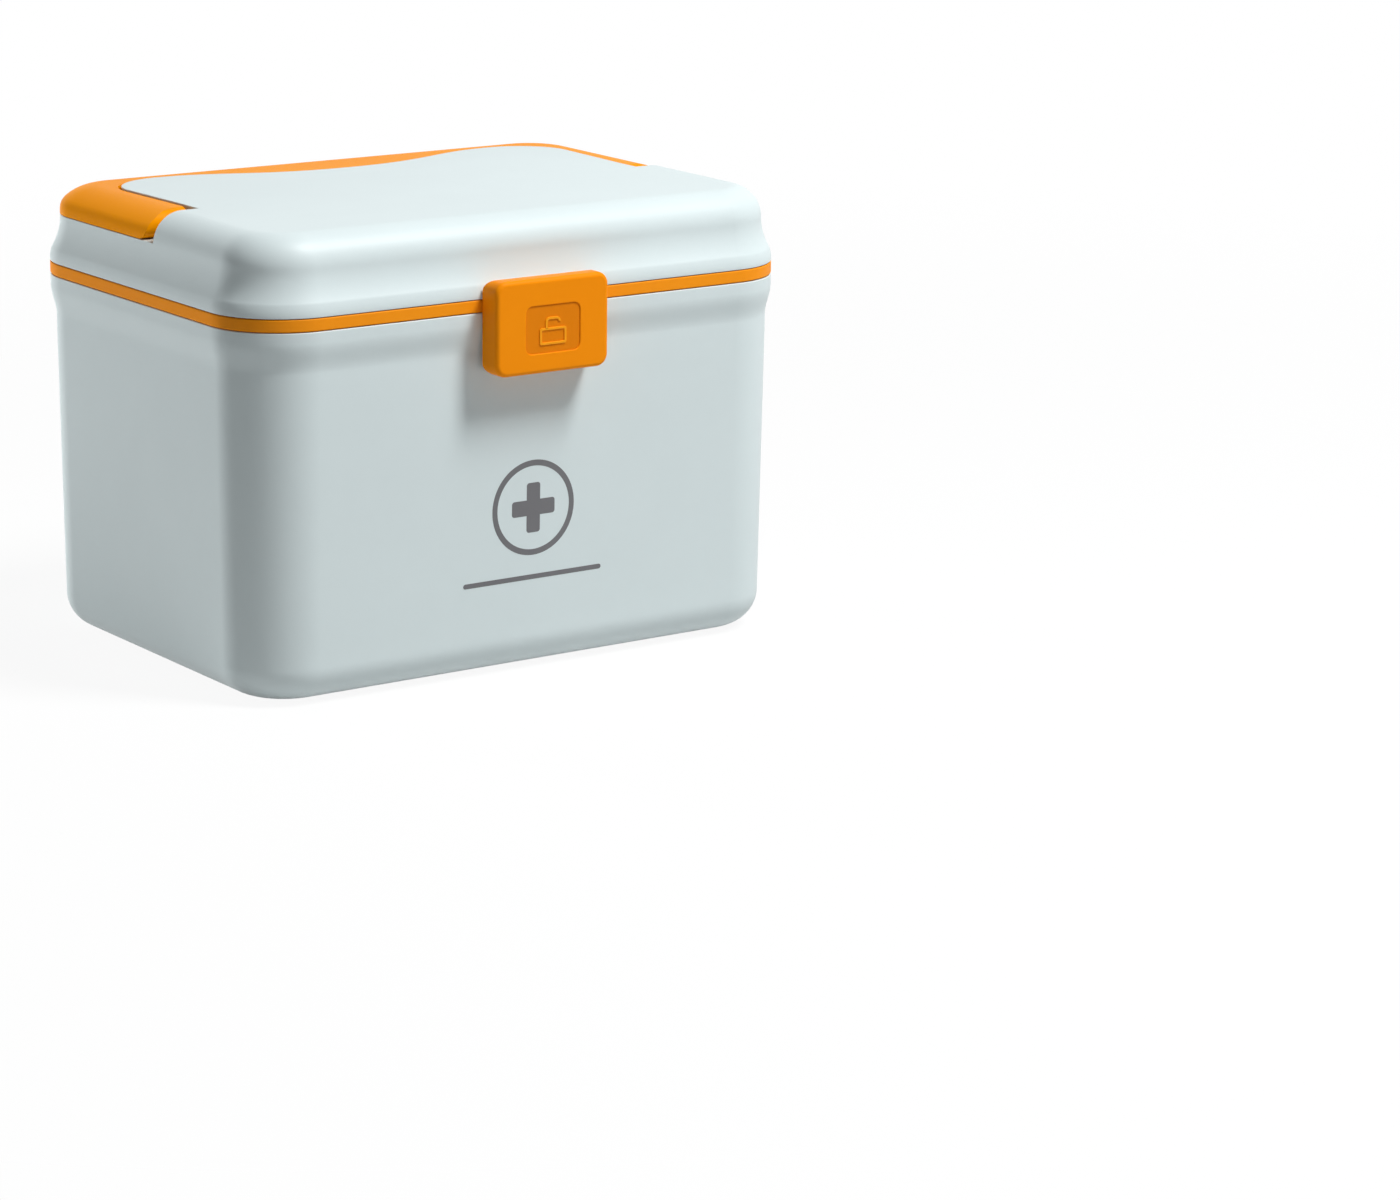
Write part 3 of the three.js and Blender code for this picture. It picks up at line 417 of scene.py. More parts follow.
def merged(*parts: BMesh) -> BMesh:
    """Puts several meshes into one, each still closed by itself.

    Args:
        *parts: The meshes. They are used up.

    Returns:
        One mesh.
    """
    whole = bmesh.new()
    for part in parts:
        keeper = to_mesh(part, "keeper")
        whole.from_mesh(keeper)
        bpy.data.meshes.remove(keeper)
    return whole


def in_order(bm: BMesh) -> BMesh:
    """Sorts a mesh by the places of its vertices, as the exact solver's order changes from run to run.

    Args:
        bm: The mesh. It is used up.

    Returns:
        The same mesh with its vertices, its faces and each face's corners in a fixed order.
    """
    fixed = bmesh.new()
    verts = sorted(bm.verts, key=lambda vert: (*(round(value, 4) for value in vert.co), *vert.co))
    place = {vert: at for at, vert in enumerate(verts)}
    made = [fixed.verts.new(vert.co) for vert in verts]
    rings = []
    for face in bm.faces:
        ring = [place[vert] for vert in face.verts]
        start = ring.index(min(ring))
        rings.append(ring[start:] + ring[:start])
    for ring in sorted(rings):
        fixed.faces.new([made[at] for at in ring])
    bm.free()
    return fixed


def level_faces(bm: BMesh, degrees: float) -> None:
    """Joins neighbouring faces that lie in one plane.

    Args:
        bm: The mesh.
        degrees: How much they may differ.
    """
    bmesh.ops.dissolve_limit(
        bm,
        angle_limit=math.radians(degrees),
        use_dissolve_boundaries=False,
        verts=bm.verts[:],
        edges=bm.edges[:],
    )


def worked(base: BMesh, how: Solid, *tools: BMesh) -> BMesh:
    """Cuts, joins or intersects solids.

    Args:
        base: The solid that is worked on. It is used up.
        how: What is done.
        *tools: The solids that it is done with, one after another. They are used up.

    Returns:
        The worked solid.
    """
    blank, *helpers = [linked("blank", to_mesh(bm, "blank")) for bm in (base, *tools)]
    for helper in helpers:
        step = blank.modifiers.new("work", "BOOLEAN")
        step.solver = "EXACT"
        step.operation = how.value
        step.object = helper
    bm = in_order(from_mesh(applied(blank)))
    for item in (blank, *helpers):
        mesh = item.data
        bpy.data.objects.remove(item)
        bpy.data.meshes.remove(mesh)
    bmesh.ops.remove_doubles(bm, verts=bm.verts[:], dist=WELD)
    bmesh.ops.dissolve_degenerate(bm, edges=bm.edges[:], dist=WELD)
    level_faces(bm, degrees=0.05)
    return bm


def piece(name: str, bm: BMesh, body: Body, finish: Finish, *stands_for: str) -> None:
    """Puts a finished mesh into the frame.

    Args:
        name: Name of the piece.
        bm: Its mesh in millimetres. It is used up.
        body: The body that it moves with.
        finish: Its finish.
        *stands_for: CAD nodes that it replaces.
    """
    bmesh.ops.recalc_face_normals(bm, faces=bm.faces[:])
    bm = in_order(bm)
    bmesh.ops.scale(bm, vec=Vector((MM, MM, MM)), verts=bm.verts[:])
    for face in bm.faces:
        face.smooth = True
    rough = to_mesh(bm, name + "_rough")
    rough.set_sharp_from_angle(angle=math.radians(SHADED_SHARP))
    made = linked(name, rough)
    even = made.modifiers.new("even_shading", "WEIGHTED_NORMAL")
    even.keep_sharp = True
    even.weight = 90
    made.data = applied(made)
    made.modifiers.clear()
    bpy.data.meshes.remove(rough)
    made.data.name = name
    made.data.materials.append(finish.material())
    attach(made, body.value)
    if stands_for:
        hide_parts(*stands_for)
    LOG.info("%s: %d faces on %s, %s", name, len(made.data.polygons), body.value, finish.name)


# Shaping


def last_layer(geom: Iterable[BMVert | BMEdge | BMFace]) -> tuple[list[BMVert], list[BMEdge]]:
    """Picks the vertices of a grown layer, and the edges between them, in the order given.

    Args:
        geom: What the operator grew.

    Returns:
        The vertices and the edges.
    """
    verts = [item for item in geom if isinstance(item, BMVert)]
    known = set(verts)
    return verts, [item for item in geom if isinstance(item, BMEdge) and known.issuperset(item.verts)]


def spun(
    bm: BMesh,
    geom: Sequence[BMVert | BMEdge],
    centre: Sequence[float],
    axis: Sequence[float],
    degrees: float,
    steps: int,
) -> tuple[list[BMVert], list[BMEdge]]:
    """Turns geometry about an axis and keeps its track. A full turn is joined where it meets itself.

    Args:
        bm: The mesh.
        geom: What is turned.
        centre: A point of the axis.
        axis: Direction of the axis.
        degrees: How far it turns.
        steps: How many straight pieces the track has.

    Returns:
        The vertices and edges at the end of the track.
    """
    track = bmesh.ops.spin(
        bm,
        geom=geom,
        cent=Vector(centre),
        axis=Vector(axis),
        angle=math.radians(degrees),
        steps=steps,
        use_merge=degrees == 360,
        use_duplicate=False,
    )
    return last_layer(track["geom_last"])


def extruded(bm: BMesh, along: Sequence[float]) -> BMesh:
    """Turns a flat closed outline into a prism.

    Args:
        bm: Mesh with the outline's edges alone.
        along: Direction and length of the prism.

    Returns:
        The prism.
    """
    face = bmesh.ops.contextual_create(bm, geom=bm.edges[:])["faces"]
    grown = bmesh.ops.extrude_face_region(bm, geom=face)["geom"]
    bmesh.ops.translate(bm, verts=last_layer(grown)[0], vec=Vector(along))
    bmesh.ops.recalc_face_normals(bm, faces=bm.faces[:])
    return bm


@dataclass(frozen=True)
class Plane:
    """An upright plane to draw in, measured from a zero point across and up."""

    zero: Triple
    across: Triple
    up: Triple = (0.0, 0.0, 1.0)

    def at(self, across: float, up: float) -> Vector:
        """Gives the point at two measures."""
        return Vector([z + across * a + up * b for z, a, b in zip(self.zero, self.across, self.up)])

    @property
    def normal(self) -> Vector:
        """Gives the direction that an arc with a positive angle turns about."""
        return Vector(self.across).cross(Vector(self.up))


def side_view(x: float, y: float = 0.0) -> Plane:
    """Gives the plane of a side view at one x, measured along Y from one y and up."""
    return Plane((x, y, 0.0), (0.0, 1.0, 0.0))


def front_view(y: float, x: float = 0.0) -> Plane:
    """Gives the plane of a front view at one y, measured along X from one x and up."""
    return Plane((x, y, 0.0), (1.0, 0.0, 0.0))


class Path:
    """A line in a plane that grows from its tip by straight runs and arcs."""

    def __init__(self, plane: Plane, start: Pair) -> None:
        """Starts the line.

        Args:
            plane: The plane.
            start: Its first point.
        """
        self.plane = plane
        self.bm = bmesh.new()
        self.first = self.tip = self.bm.verts.new(plane.at(*start))

    def to(self, *points: Sequence[float]) -> "Path":
        """Adds straight runs.

        Args:
            *points: Where each run ends.

        Returns:
            The path itself.
        """
        for point in points:
            self.tip = bmesh.ops.extrude_vert_indiv(self.bm, verts=[self.tip])["verts"][0]
            self.tip.co = self.plane.at(*point)
        return self

    def arc(self, centre: Pair, degrees: float, steps: int) -> "Path":
        """Adds an arc.

        Args:
            centre: Middle of the arc.
            degrees: How far it turns.
            steps: How many straight pieces it has.

        Returns:
            The path itself.
        """
        place = self.plane.at(*centre)
        self.tip = spun(self.bm, [self.tip], place, self.plane.normal, degrees, steps)[0][0]
        return self

    def close(self) -> "Path":
        """Joins the tip to the first point.

        Returns:
            The path itself.
        """
        self.bm.edges.new((self.tip, self.first))
        return self

    def prism(self, length: float) -> BMesh:
        """Closes the path and makes it a prism.

        Args:
            length: How far it reaches along the plane's normal.

        Returns:
            The prism.
        """
        return extruded(self.close().bm, length * self.plane.normal)

    def turned(self, steps: int) -> BMesh:
        """Turns the path, a half section, fully round its upright zero line.

        Args:
            steps: How many sides the shape has.

        Returns:
            The closed shape.
        """
        bm = self.bm
        spun(bm, bm.verts[:] + bm.edges[:], self.plane.zero, self.plane.up, 360, steps)
        bmesh.ops.remove_doubles(bm, verts=bm.verts[:], dist=10 * WELD)
        bmesh.ops.recalc_face_normals(bm, faces=bm.faces[:])
        return bm


@dataclass(frozen=True)
class BoxPlan:
    """The box's plan outline, a rounded rectangle. Insets are measured inwards from it."""

    half_width: float = face_of("seal_band", "+x")
    half_depth: float = face_of("seal_band", "+y")
    corner: float = 31.5
    steps: int = 20

    def path(self, inset: float, z: float) -> Path:
        """Starts a path in the section through the front side, measured by inset and z."""
        return Path(side_view(0.0, -self.half_depth), (inset, z))

    def sweep(self, path: Path) -> BMesh:
        """Carries a section of the front side all the way round the plan and fills what its ends leave open.

        Args:
            path: The section.

        Returns:
            The closed shape.
        """
        bm = path.bm
        x, y = self.half_width - self.corner, self.half_depth - self.corner
        bmesh.ops.translate(bm, verts=bm.verts[:], vec=Vector((-x, 0, 0)))
        edges = bm.edges[:]
        runs = ((2 * x, 0), (0, 2 * y), (-2 * x, 0), (0, -2 * y))
        for run, centre in zip(runs, ((x, -y), (x, y), (-x, y), (-x, -y))):
            verts, edges = last_layer(bmesh.ops.extrude_edge_only(bm, edges=edges)["geom"])
            bmesh.ops.translate(bm, verts=verts, vec=Vector((*run, 0)))
            edges = spun(bm, verts + edges, (*centre, 0), (0, 0, 1), 90, self.steps)[1]
        bmesh.ops.remove_doubles(bm, verts=bm.verts[:], dist=10 * WELD)
        rims = [edge for edge in bm.edges if edge.is_boundary or edge.is_wire]
        bmesh.ops.holes_fill(bm, edges=rims, sides=0)
        bmesh.ops.recalc_face_normals(bm, faces=bm.faces[:])
        return bm


PLAN = BoxPlan()


def block(corner: Sequence[float], opposite: Sequence[float], bevel: float = 0.0) -> BMesh:
    """Makes a block from two opposite corners.

    Args:
        corner: One corner.
        opposite: The other.
        bevel: Width of the rounding on its edges.

    Returns:
        The block.
    """
    low, high = (Vector(values) for values in zip(*(sorted(pair) for pair in zip(corner, opposite))))
    bm = bmesh.new()
    size = Matrix.Diagonal((*(high - low), 1.0))
    bmesh.ops.create_cube(bm, size=1.0, matrix=Matrix.Translation((low + high) / 2) @ size)
    if bevel:
        soften(bm, bevel, 2)
    return bm


def slab(y0: float, y1: float, z0: float, z1: float) -> BMesh:
    """Makes a block that reaches past both sides of the box."""
    return block((-FAR, y0, z0), (FAR, y1, z1))


def cylinder(radius: float, centre: Sequence[float], length: float, axis: str, sides: int = 48) -> BMesh:
    """Makes a cylinder about its middle.

    Args:
        radius: Its radius.
        centre: Its middle.
        length: Its length.
        axis: One of X, Y and Z.
        sides: Number of sides.

    Returns:
        The cylinder.
    """
    turns = {"X": (0, math.pi / 2, 0), "Y": (-math.pi / 2, 0, 0), "Z": (0, 0, 0)}
    bm = bmesh.new()
    bmesh.ops.create_cone(
        bm,
        cap_ends=True,
        cap_tris=False,
        segments=sides,
        radius1=radius,
        radius2=radius,
        depth=length,
        matrix=Matrix.Translation(Vector(centre)) @ Euler(turns[axis]).to_matrix().to_4x4(),
    )
    return bm


def bore(axis: Pair, radius: float, sides: int = 40) -> BMesh:
    """Makes the cutter of a pin's bore right across the box."""
    return cylinder(radius, (0, *axis), 2 * FAR, "X", sides)


def soften(
    bm: BMesh, width: float, steps: int, where: Callable[[Vector], bool] | None = None, degrees: float = 60.0
) -> None:
    """Rounds sharp outer edges.

    Args:
        bm: The mesh.
        width: How far the rounding reaches.
        steps: How many steps it has.
        where: Says from an edge's middle whether it counts. Without it each does.
        degrees: The least angle between an edge's two faces.
    """
    edges = []
    for edge in bm.edges:
        if len(edge.link_faces) != 2 or edge.calc_face_angle(0.0) < math.radians(degrees):
            continue
        if edge.is_convex and (where is None or where((edge.verts[0].co + edge.verts[1].co) / 2)):
            edges.append(edge)
    bmesh.ops.bevel(
        bm,
        geom=edges,
        offset=width,
        offset_type="OFFSET",
        segments=steps,
        profile=0.5,
        affect="EDGES",
        clamp_overlap=True,
        material=-1,
    )


def rimmed(
    radius: float, centre: Sequence[float], length: float, sides: int = 40, rim: float = 0.2, steps: int = 2
) -> BMesh:
    """Makes a plain pin along X with rounded rims.

    Args:
        radius: Its radius.
        centre: Its middle.
        length: Its length.
        sides: Number of sides.
        rim: Width of the rounding.
        steps: How many steps the rounding has.

    Returns:
        The pin.
    """
    pin = cylinder(radius, centre, length, "X", sides)
    soften(pin, rim, steps)
    return pin


def pin_for(node: str, **looks: float) -> BMesh:
    """Makes a pin of a CAD pin's place and size. Its looks are those that rimmed takes."""
    middle, size = spot_of(node)
    return rimmed(size[2] / 2, middle, size[0], **looks)


def rounded_block(low: Pair, high: Pair, radius: float, y0: float, y1: float, steps: int = 8) -> BMesh:
    """Makes a block whose outline in the front view is a rounded rectangle.

    Args:
        low: Lowest x and z.
        high: Highest x and z.
        radius: Corner radius.
        y0: The y at which it starts.
        y1: The y at which it ends.
        steps: Steps in each corner.

    Returns:
        The block.
    """
    (x0, z0), (x1, z1) = low, high
    left, right, base, top = x0 + radius, x1 - radius, z0 + radius, z1 - radius
    path = Path(front_view(y0), (left, z0))
    for end, centre in (
        ((right, z0), (right, base)),
        ((x1, top), (right, top)),
        ((left, z1), (left, top)),
        ((x0, base), (left, base)),
    ):
        path.to(end).arc(centre, 90, steps)
    bmesh.ops.remove_doubles(path.bm, verts=path.bm.verts[:], dist=WELD)
    return extruded(path.bm, (0, y1 - y0, 0))


def knuckle(
    ends: Pair, eye: Pair, radius: float, wall_y: float, wall_z: Pair, rim: float = 0.5
) -> BMesh:
    """Makes a hinge knuckle: a round eye that runs into a wall.

    Args:
        ends: Its left and right end.
        eye: The y and z of the eye's middle.
        radius: Radius of the eye.
        wall_y: The y at which it meets the wall.
        wall_z: Lowest and highest z at the wall.
        rim: Width of the rounding at its ends.

    Returns:
        The knuckle.
    """
    bm = cylinder(radius, (sum(ends) / 2, *eye), ends[1] - ends[0], "X")
    for x in ends:
        for z in wall_z:
            bm.verts.new((x, wall_y, z))
    bmesh.ops.delete(bm, geom=bm.faces[:], context="FACES_ONLY")
    hull = bmesh.ops.convex_hull(bm, input=bm.verts[:])
    left_out = dict.fromkeys(hull["geom_interior"] + hull["geom_unused"])
    bmesh.ops.delete(bm, geom=[item for item in left_out if isinstance(item, BMVert)], context="VERTS")
    level_faces(bm, degrees=0.5)
    soften(bm, rim, 3, lambda at: at.y > wall_y + 2 * NEAR)
    return bm


# Tub


@dataclass
class Tub:
    """The moulded tub with its ribs, rear knuckles, front ledge, feet and hinge pins."""

    top: float = 149.3
    foot_proud: float = 0.8
    floor: float = 3.4
    wall: float = 2.5
    inset_low: float = 3.6
    inset_high: float = 2.2
    base_fillet: float = 14.6
    inner_fillet: float = 10.0
    flare_drop: float = 16.8
    flare_rise: float = 12.5
    flare_lead: float = 6.0
    flare_steps: int = 16
    rim_wall: float = 3.8
    rim_edge: float = 0.5
    groove: Pair = (1.2, 2.9)
    groove_depth: float = 3.1
    rib_inset: float = 9.5
    rib_width: float = 2.4
    rib_base: float = 9.0
    rib_top: float = 137.6
    rib_spread: float = 65.0
    rib_edge: float = 0.5
    rib_foot: float = 1.5
    knuckle_radius: float = 4.6
    knuckle_span: Pair = (11.0, 22.0)
    knuckle_drop: float = 11.0
    knuckle_root: float = 90.8
    bore_radius: float = 1.9
    ledge_half: float = 15.0
    ledge_y: Pair = (-93.0, -89.3)
    ledge_base: float = 129.5
    ledge_height: Pair = (4.0, 7.7)
    ledge_edge: float = 0.25
    foot_radius: float = spot_of("foot_pad_front_left")[1][0] / 2
    foot_top: float = face_of("foot_pad_front_left", "+z")
    foot_edge: float = 0.8
    foot_slope: float = 0.4
    foot_dish: Pair = (2.2, 0.5)
    foot_groove: Pair = (0.6, 0.35)

    def outside(self) -> Path:
        """Draws the outside from the middle of the bottom up to the rim.

        Returns:
            The open path.
        """
        base, fillet, edge = self.foot_proud, self.base_fillet, self.rim_edge
        path = PLAN.path(self.inset_low + fillet, base)
        path.arc((self.inset_low + fillet, base + fillet), -90, 16)
        flare = self.top - self.flare_drop
        path.to((self.inset_high, flare - self.flare_lead))
        for step in range(self.flare_steps + 1):
            share = step / self.flare_steps
            ease = share * share * (3 - 2 * share)
            path.to((self.inset_high * (1 - ease), flare + self.flare_rise * share))
        return path.to((0.0, self.top - edge)).arc((edge, self.top - edge), -90, 3)

    def shell(self) -> BMesh:
        """Makes the walls and the floor in one closed sweep, with pockets for the feet.

        Returns:
            The shell.
        """
        top, flare, fillet = self.top, self.top - self.flare_drop, self.inner_fillet
        low, floor = self.inset_low + self.wall, self.foot_proud + self.floor
        (near, far), deep = self.groove, top - self.groove_depth
        path = self.outside().to((near, top), (near, deep), (far, deep), (far, top), (self.rim_wall, top))
        path.to((self.rim_wall, flare + self.flare_rise), (self.inset_high + self.wall, flare))
        path.to((low, floor + fillet)).arc((low + fillet, floor + fillet), 90, 8)
        depth = self.foot_top + CLEARANCE
        pockets = [
            cylinder(self.foot_radius + CLEARANCE, (x, y, 0.0), 2 * depth, "Z") for _, x, y in self.feet()
        ]
        return worked(PLAN.sweep(path), Solid.CUT, *pockets)

    def feet(self) -> list[tuple[str, float, float]]:
        """Names the feet and says where the frame has them."""
        names = [end + "_" + side for end in ("front", "rear") for side in SIDES]
        return [(name, *spot_of("foot_pad_" + name)[0][:2]) for name in names]

    def ribs(self) -> BMesh:
        """Makes the upright ribs inside the walls that carry the tray.

        Returns:
            The ribs.
        """
        half, low, top = self.rib_width / 2, self.rib_base, self.rib_top
        wall = self.inset_low + self.wall / 2
        reach_x, reach_y = PLAN.half_width - self.rib_inset, PLAN.half_depth - self.rib_inset
        root_x, root_y = PLAN.half_width - wall, PLAN.half_depth - wall
        third = PLAN.half_depth / 3

        def rooted(at: Vector) -> bool:
            """Says whether a place is at a rib's foot by the wall."""
            return at.z < low + NEAR and (abs(at.y) > root_y - NEAR or abs(at.x) > root_x - NEAR)

        made = []
        for side in (-1, 1):
            for x in (-self.rib_spread, 0.0, self.rib_spread):
                made.append(block((x - half, side * reach_y, low), (x + half, side * root_y, top)))
            for y in (-third, third):
                made.append(block((side * reach_x, y - half, low), (side * root_x, y + half, top)))
        for rib in made:
            soften(rib, self.rib_edge, 2, lambda at: at.z > top - NEAR)
            soften(rib, self.rib_foot, 1, rooted)
        return merged(*made)

    def knuckles(self) -> BMesh:
        """Makes the four rear knuckles, bored for the pins.

        Returns:
            The knuckles.
        """
        near, far = self.knuckle_span
        wall_z = (self.top - self.knuckle_drop, self.top - self.rim_edge)
        made = [
            knuckle((x + x0, x + x1), LID_AXIS, self.knuckle_radius, self.knuckle_root, wall_z)
            for x in HINGES_X
            for x0, x1 in ((-far, -near), (near, far))
        ]
        over_rim = slab(0.0, PLAN.half_depth + CLEARANCE, self.top, FAR)
        return worked(merged(*made), Solid.CUT, over_rim, bore(LID_AXIS, self.bore_radius))

    def ledge(self) -> BMesh:
        """Makes the fixed ledge that the latch flap's lip holds.

        Returns:
            The ledge.
        """
        (tip, root), base = self.ledge_y, self.ledge_base
        tip_rise, root_rise = self.ledge_height
        path = Path(side_view(-self.ledge_half), (root, base))
        path.to((root, base + root_rise), (tip, base + tip_rise), (tip, base))
        bm = path.prism(2 * self.ledge_half)
        soften(bm, self.ledge_edge, 2, lambda at: at.y < tip + NEAR, BLUNT)
        return bm

    def foot(self, x: float, y: float) -> BMesh:
        """Turns one non-slip foot with its dish and its groove.

        Args:
            x: Its middle.
            y: Its middle.

        Returns:
            The foot.
        """
        slope, tread = self.foot_slope, self.foot_radius - self.foot_edge
        (dish, hollow), (flat, groove) = self.foot_dish, self.foot_groove
        outer, inner = tread - slope, tread - slope - 2 * slope - flat
        path = Path(front_view(y, x), (0.0, hollow))
        path.to((dish, hollow), (dish + slope, 0.0), (inner, 0.0), (inner + slope, groove))
        path.to((outer - slope, groove), (outer, 0.0), (tread, 0.0))
        path.arc((tread, self.foot_edge), 90, 4).to((self.foot_radius, self.foot_top), (0.0, self.foot_top))
        return path.turned(40)

    def build(self) -> None:
        """Builds the tub and all that is fixed to it."""
        piece("tub_shell", self.shell(), Body.TUB, PALE_SHELL, "body_tub")
        piece("tub_tray_ribs", self.ribs(), Body.TUB, PALE_SHELL, "body_tub")
        piece("tub_hinge_knuckles", self.knuckles(), Body.TUB, PALE_SHELL, "body_tub")
        piece("tub_latch_ledge", self.ledge(), Body.TUB, PALE_SHELL, "body_tub")
        for name, x, y in self.feet():
            piece("foot_" + name, self.foot(x, y), Body.TUB, FOOT_RUBBER, "foot_pad_" + name)
        for side in SIDES:
            node = "hinge_pin_" + side
            piece(node + "_turned", pin_for(node, rim=0.3, steps=3), Body.TUB, PIN_STEEL, node)


TUB = Tub()


@dataclass
class SealBand:
    """The soft band on the tub's rim, with the tongue that holds it in the rim's groove."""

    base: float = TUB.top + CLEARANCE
    top: float = face_of("seal_band", "+z")
    deep: float = face_of("seal_band", "-z")
    wall: float = 3.5
    edge: float = 0.45
    inner_edge: float = 0.3
    tongue: Pair = (1.5, 2.6)

    def build(self) -> None:
        """Builds the band in one closed sweep."""
        base, top, edge, wall = self.base, self.top, self.edge, self.wall
        (near, far), deep = self.tongue, self.deep
        path = PLAN.path(edge, base).arc((edge, base + edge), -90, 4)
        path.to((0, top - edge)).arc((edge, top - edge), -90, 4)
        path.to((wall - self.inner_edge, top), (wall, top - self.inner_edge), (wall, base))
        path.to((far, base), (far, deep), (near, deep), (near, base)).close()
        piece("seal_band_soft", PLAN.sweep(path), Body.TUB, SOFT_BAND, "seal_band")


# Plan of the folded handle, shared by the lid's recess and the handle


@dataclass(frozen=True)
class BowOutline:
    """Plan of what the folded handle's bow encloses."""

    grip_y: float = 52.5
    arch: Pair = (81.0, 69.5)
    arch_ease: Pair = (0.54, 0.63)
    leg_x: float = 107.7
    bend_y: float = 46.0
    foot_x: float = 106.2
    quarter_circle: float = 0.5523
    steps: int = 22
    weld: float = 0.02

    def knots(self, offset: float, front_y: float) -> list[tuple[Pair, Pair, Pair]]:
        """Works out the outline's points, each with the handle before and after it.

        Args:
            offset: How far it is drawn inwards.
            front_y: Where it ends in front.

        Returns:
            For each point the handle before it, the point and the handle after it.
        """
        arch_x, arch_y = self.arch[0], self.arch[1] - offset
        grip, leg, foot = self.grip_y - offset, self.leg_x - offset, self.foot_x - offset
        bend = (leg - arch_x) * self.quarter_circle
        rise = (arch_y - self.bend_y) * self.quarter_circle
        near, far = (arch_x * share for share in self.arch_ease)
        right = [
            ((foot, front_y),) * 3,
            ((foot, HANDLE_AXIS[0]),) * 3,
            ((leg, self.bend_y), (leg, self.bend_y), (leg, self.bend_y + rise)),
            ((arch_x + bend, arch_y), (arch_x, arch_y), (far, arch_y)),
        ]
        left = [tuple((-x, y) for x, y in reversed(knot)) for knot in reversed(right)]
        return [*right, ((near, grip), (0.0, grip), (-near, grip)), *left]

    def column(self, offset: float, front_y: float, z0: float, z1: float) -> BMesh:
        """Raises the outline to a prism.

        Args:
            offset: How far the outline is drawn inwards.
            front_y: Where it ends in front.
            z0: Its base.
            z1: Its top.

        Returns:
            The prism.
        """
        knots = self.knots(offset, front_y)
        curve = bpy.data.curves.new("outline", "CURVE")
        curve.dimensions = "3D"
        curve.resolution_u = self.steps
        spline = curve.splines.new("BEZIER")
        spline.bezier_points.add(len(knots) - 1)
        spline.use_cyclic_u = True
        for knot, (before, at, after) in zip(spline.bezier_points, knots):
            knot.handle_left_type = knot.handle_right_type = "FREE"
            knot.co = (*at, 0.0)
            knot.handle_left = (*before, 0.0)
            knot.handle_right = (*after, 0.0)
        drawn = linked("outline", curve)
        bpy.context.view_layer.update()
        bm = from_mesh(applied(drawn))
        bpy.data.objects.remove(drawn)
        bpy.data.curves.remove(curve)
        bmesh.ops.remove_doubles(bm, verts=bm.verts[:], dist=self.weld)
        bmesh.ops.translate(bm, verts=bm.verts[:], vec=Vector((0, 0, z0)))
        return extruded(bm, (0, 0, z1 - z0))


BOW = BowOutline()


# Lid


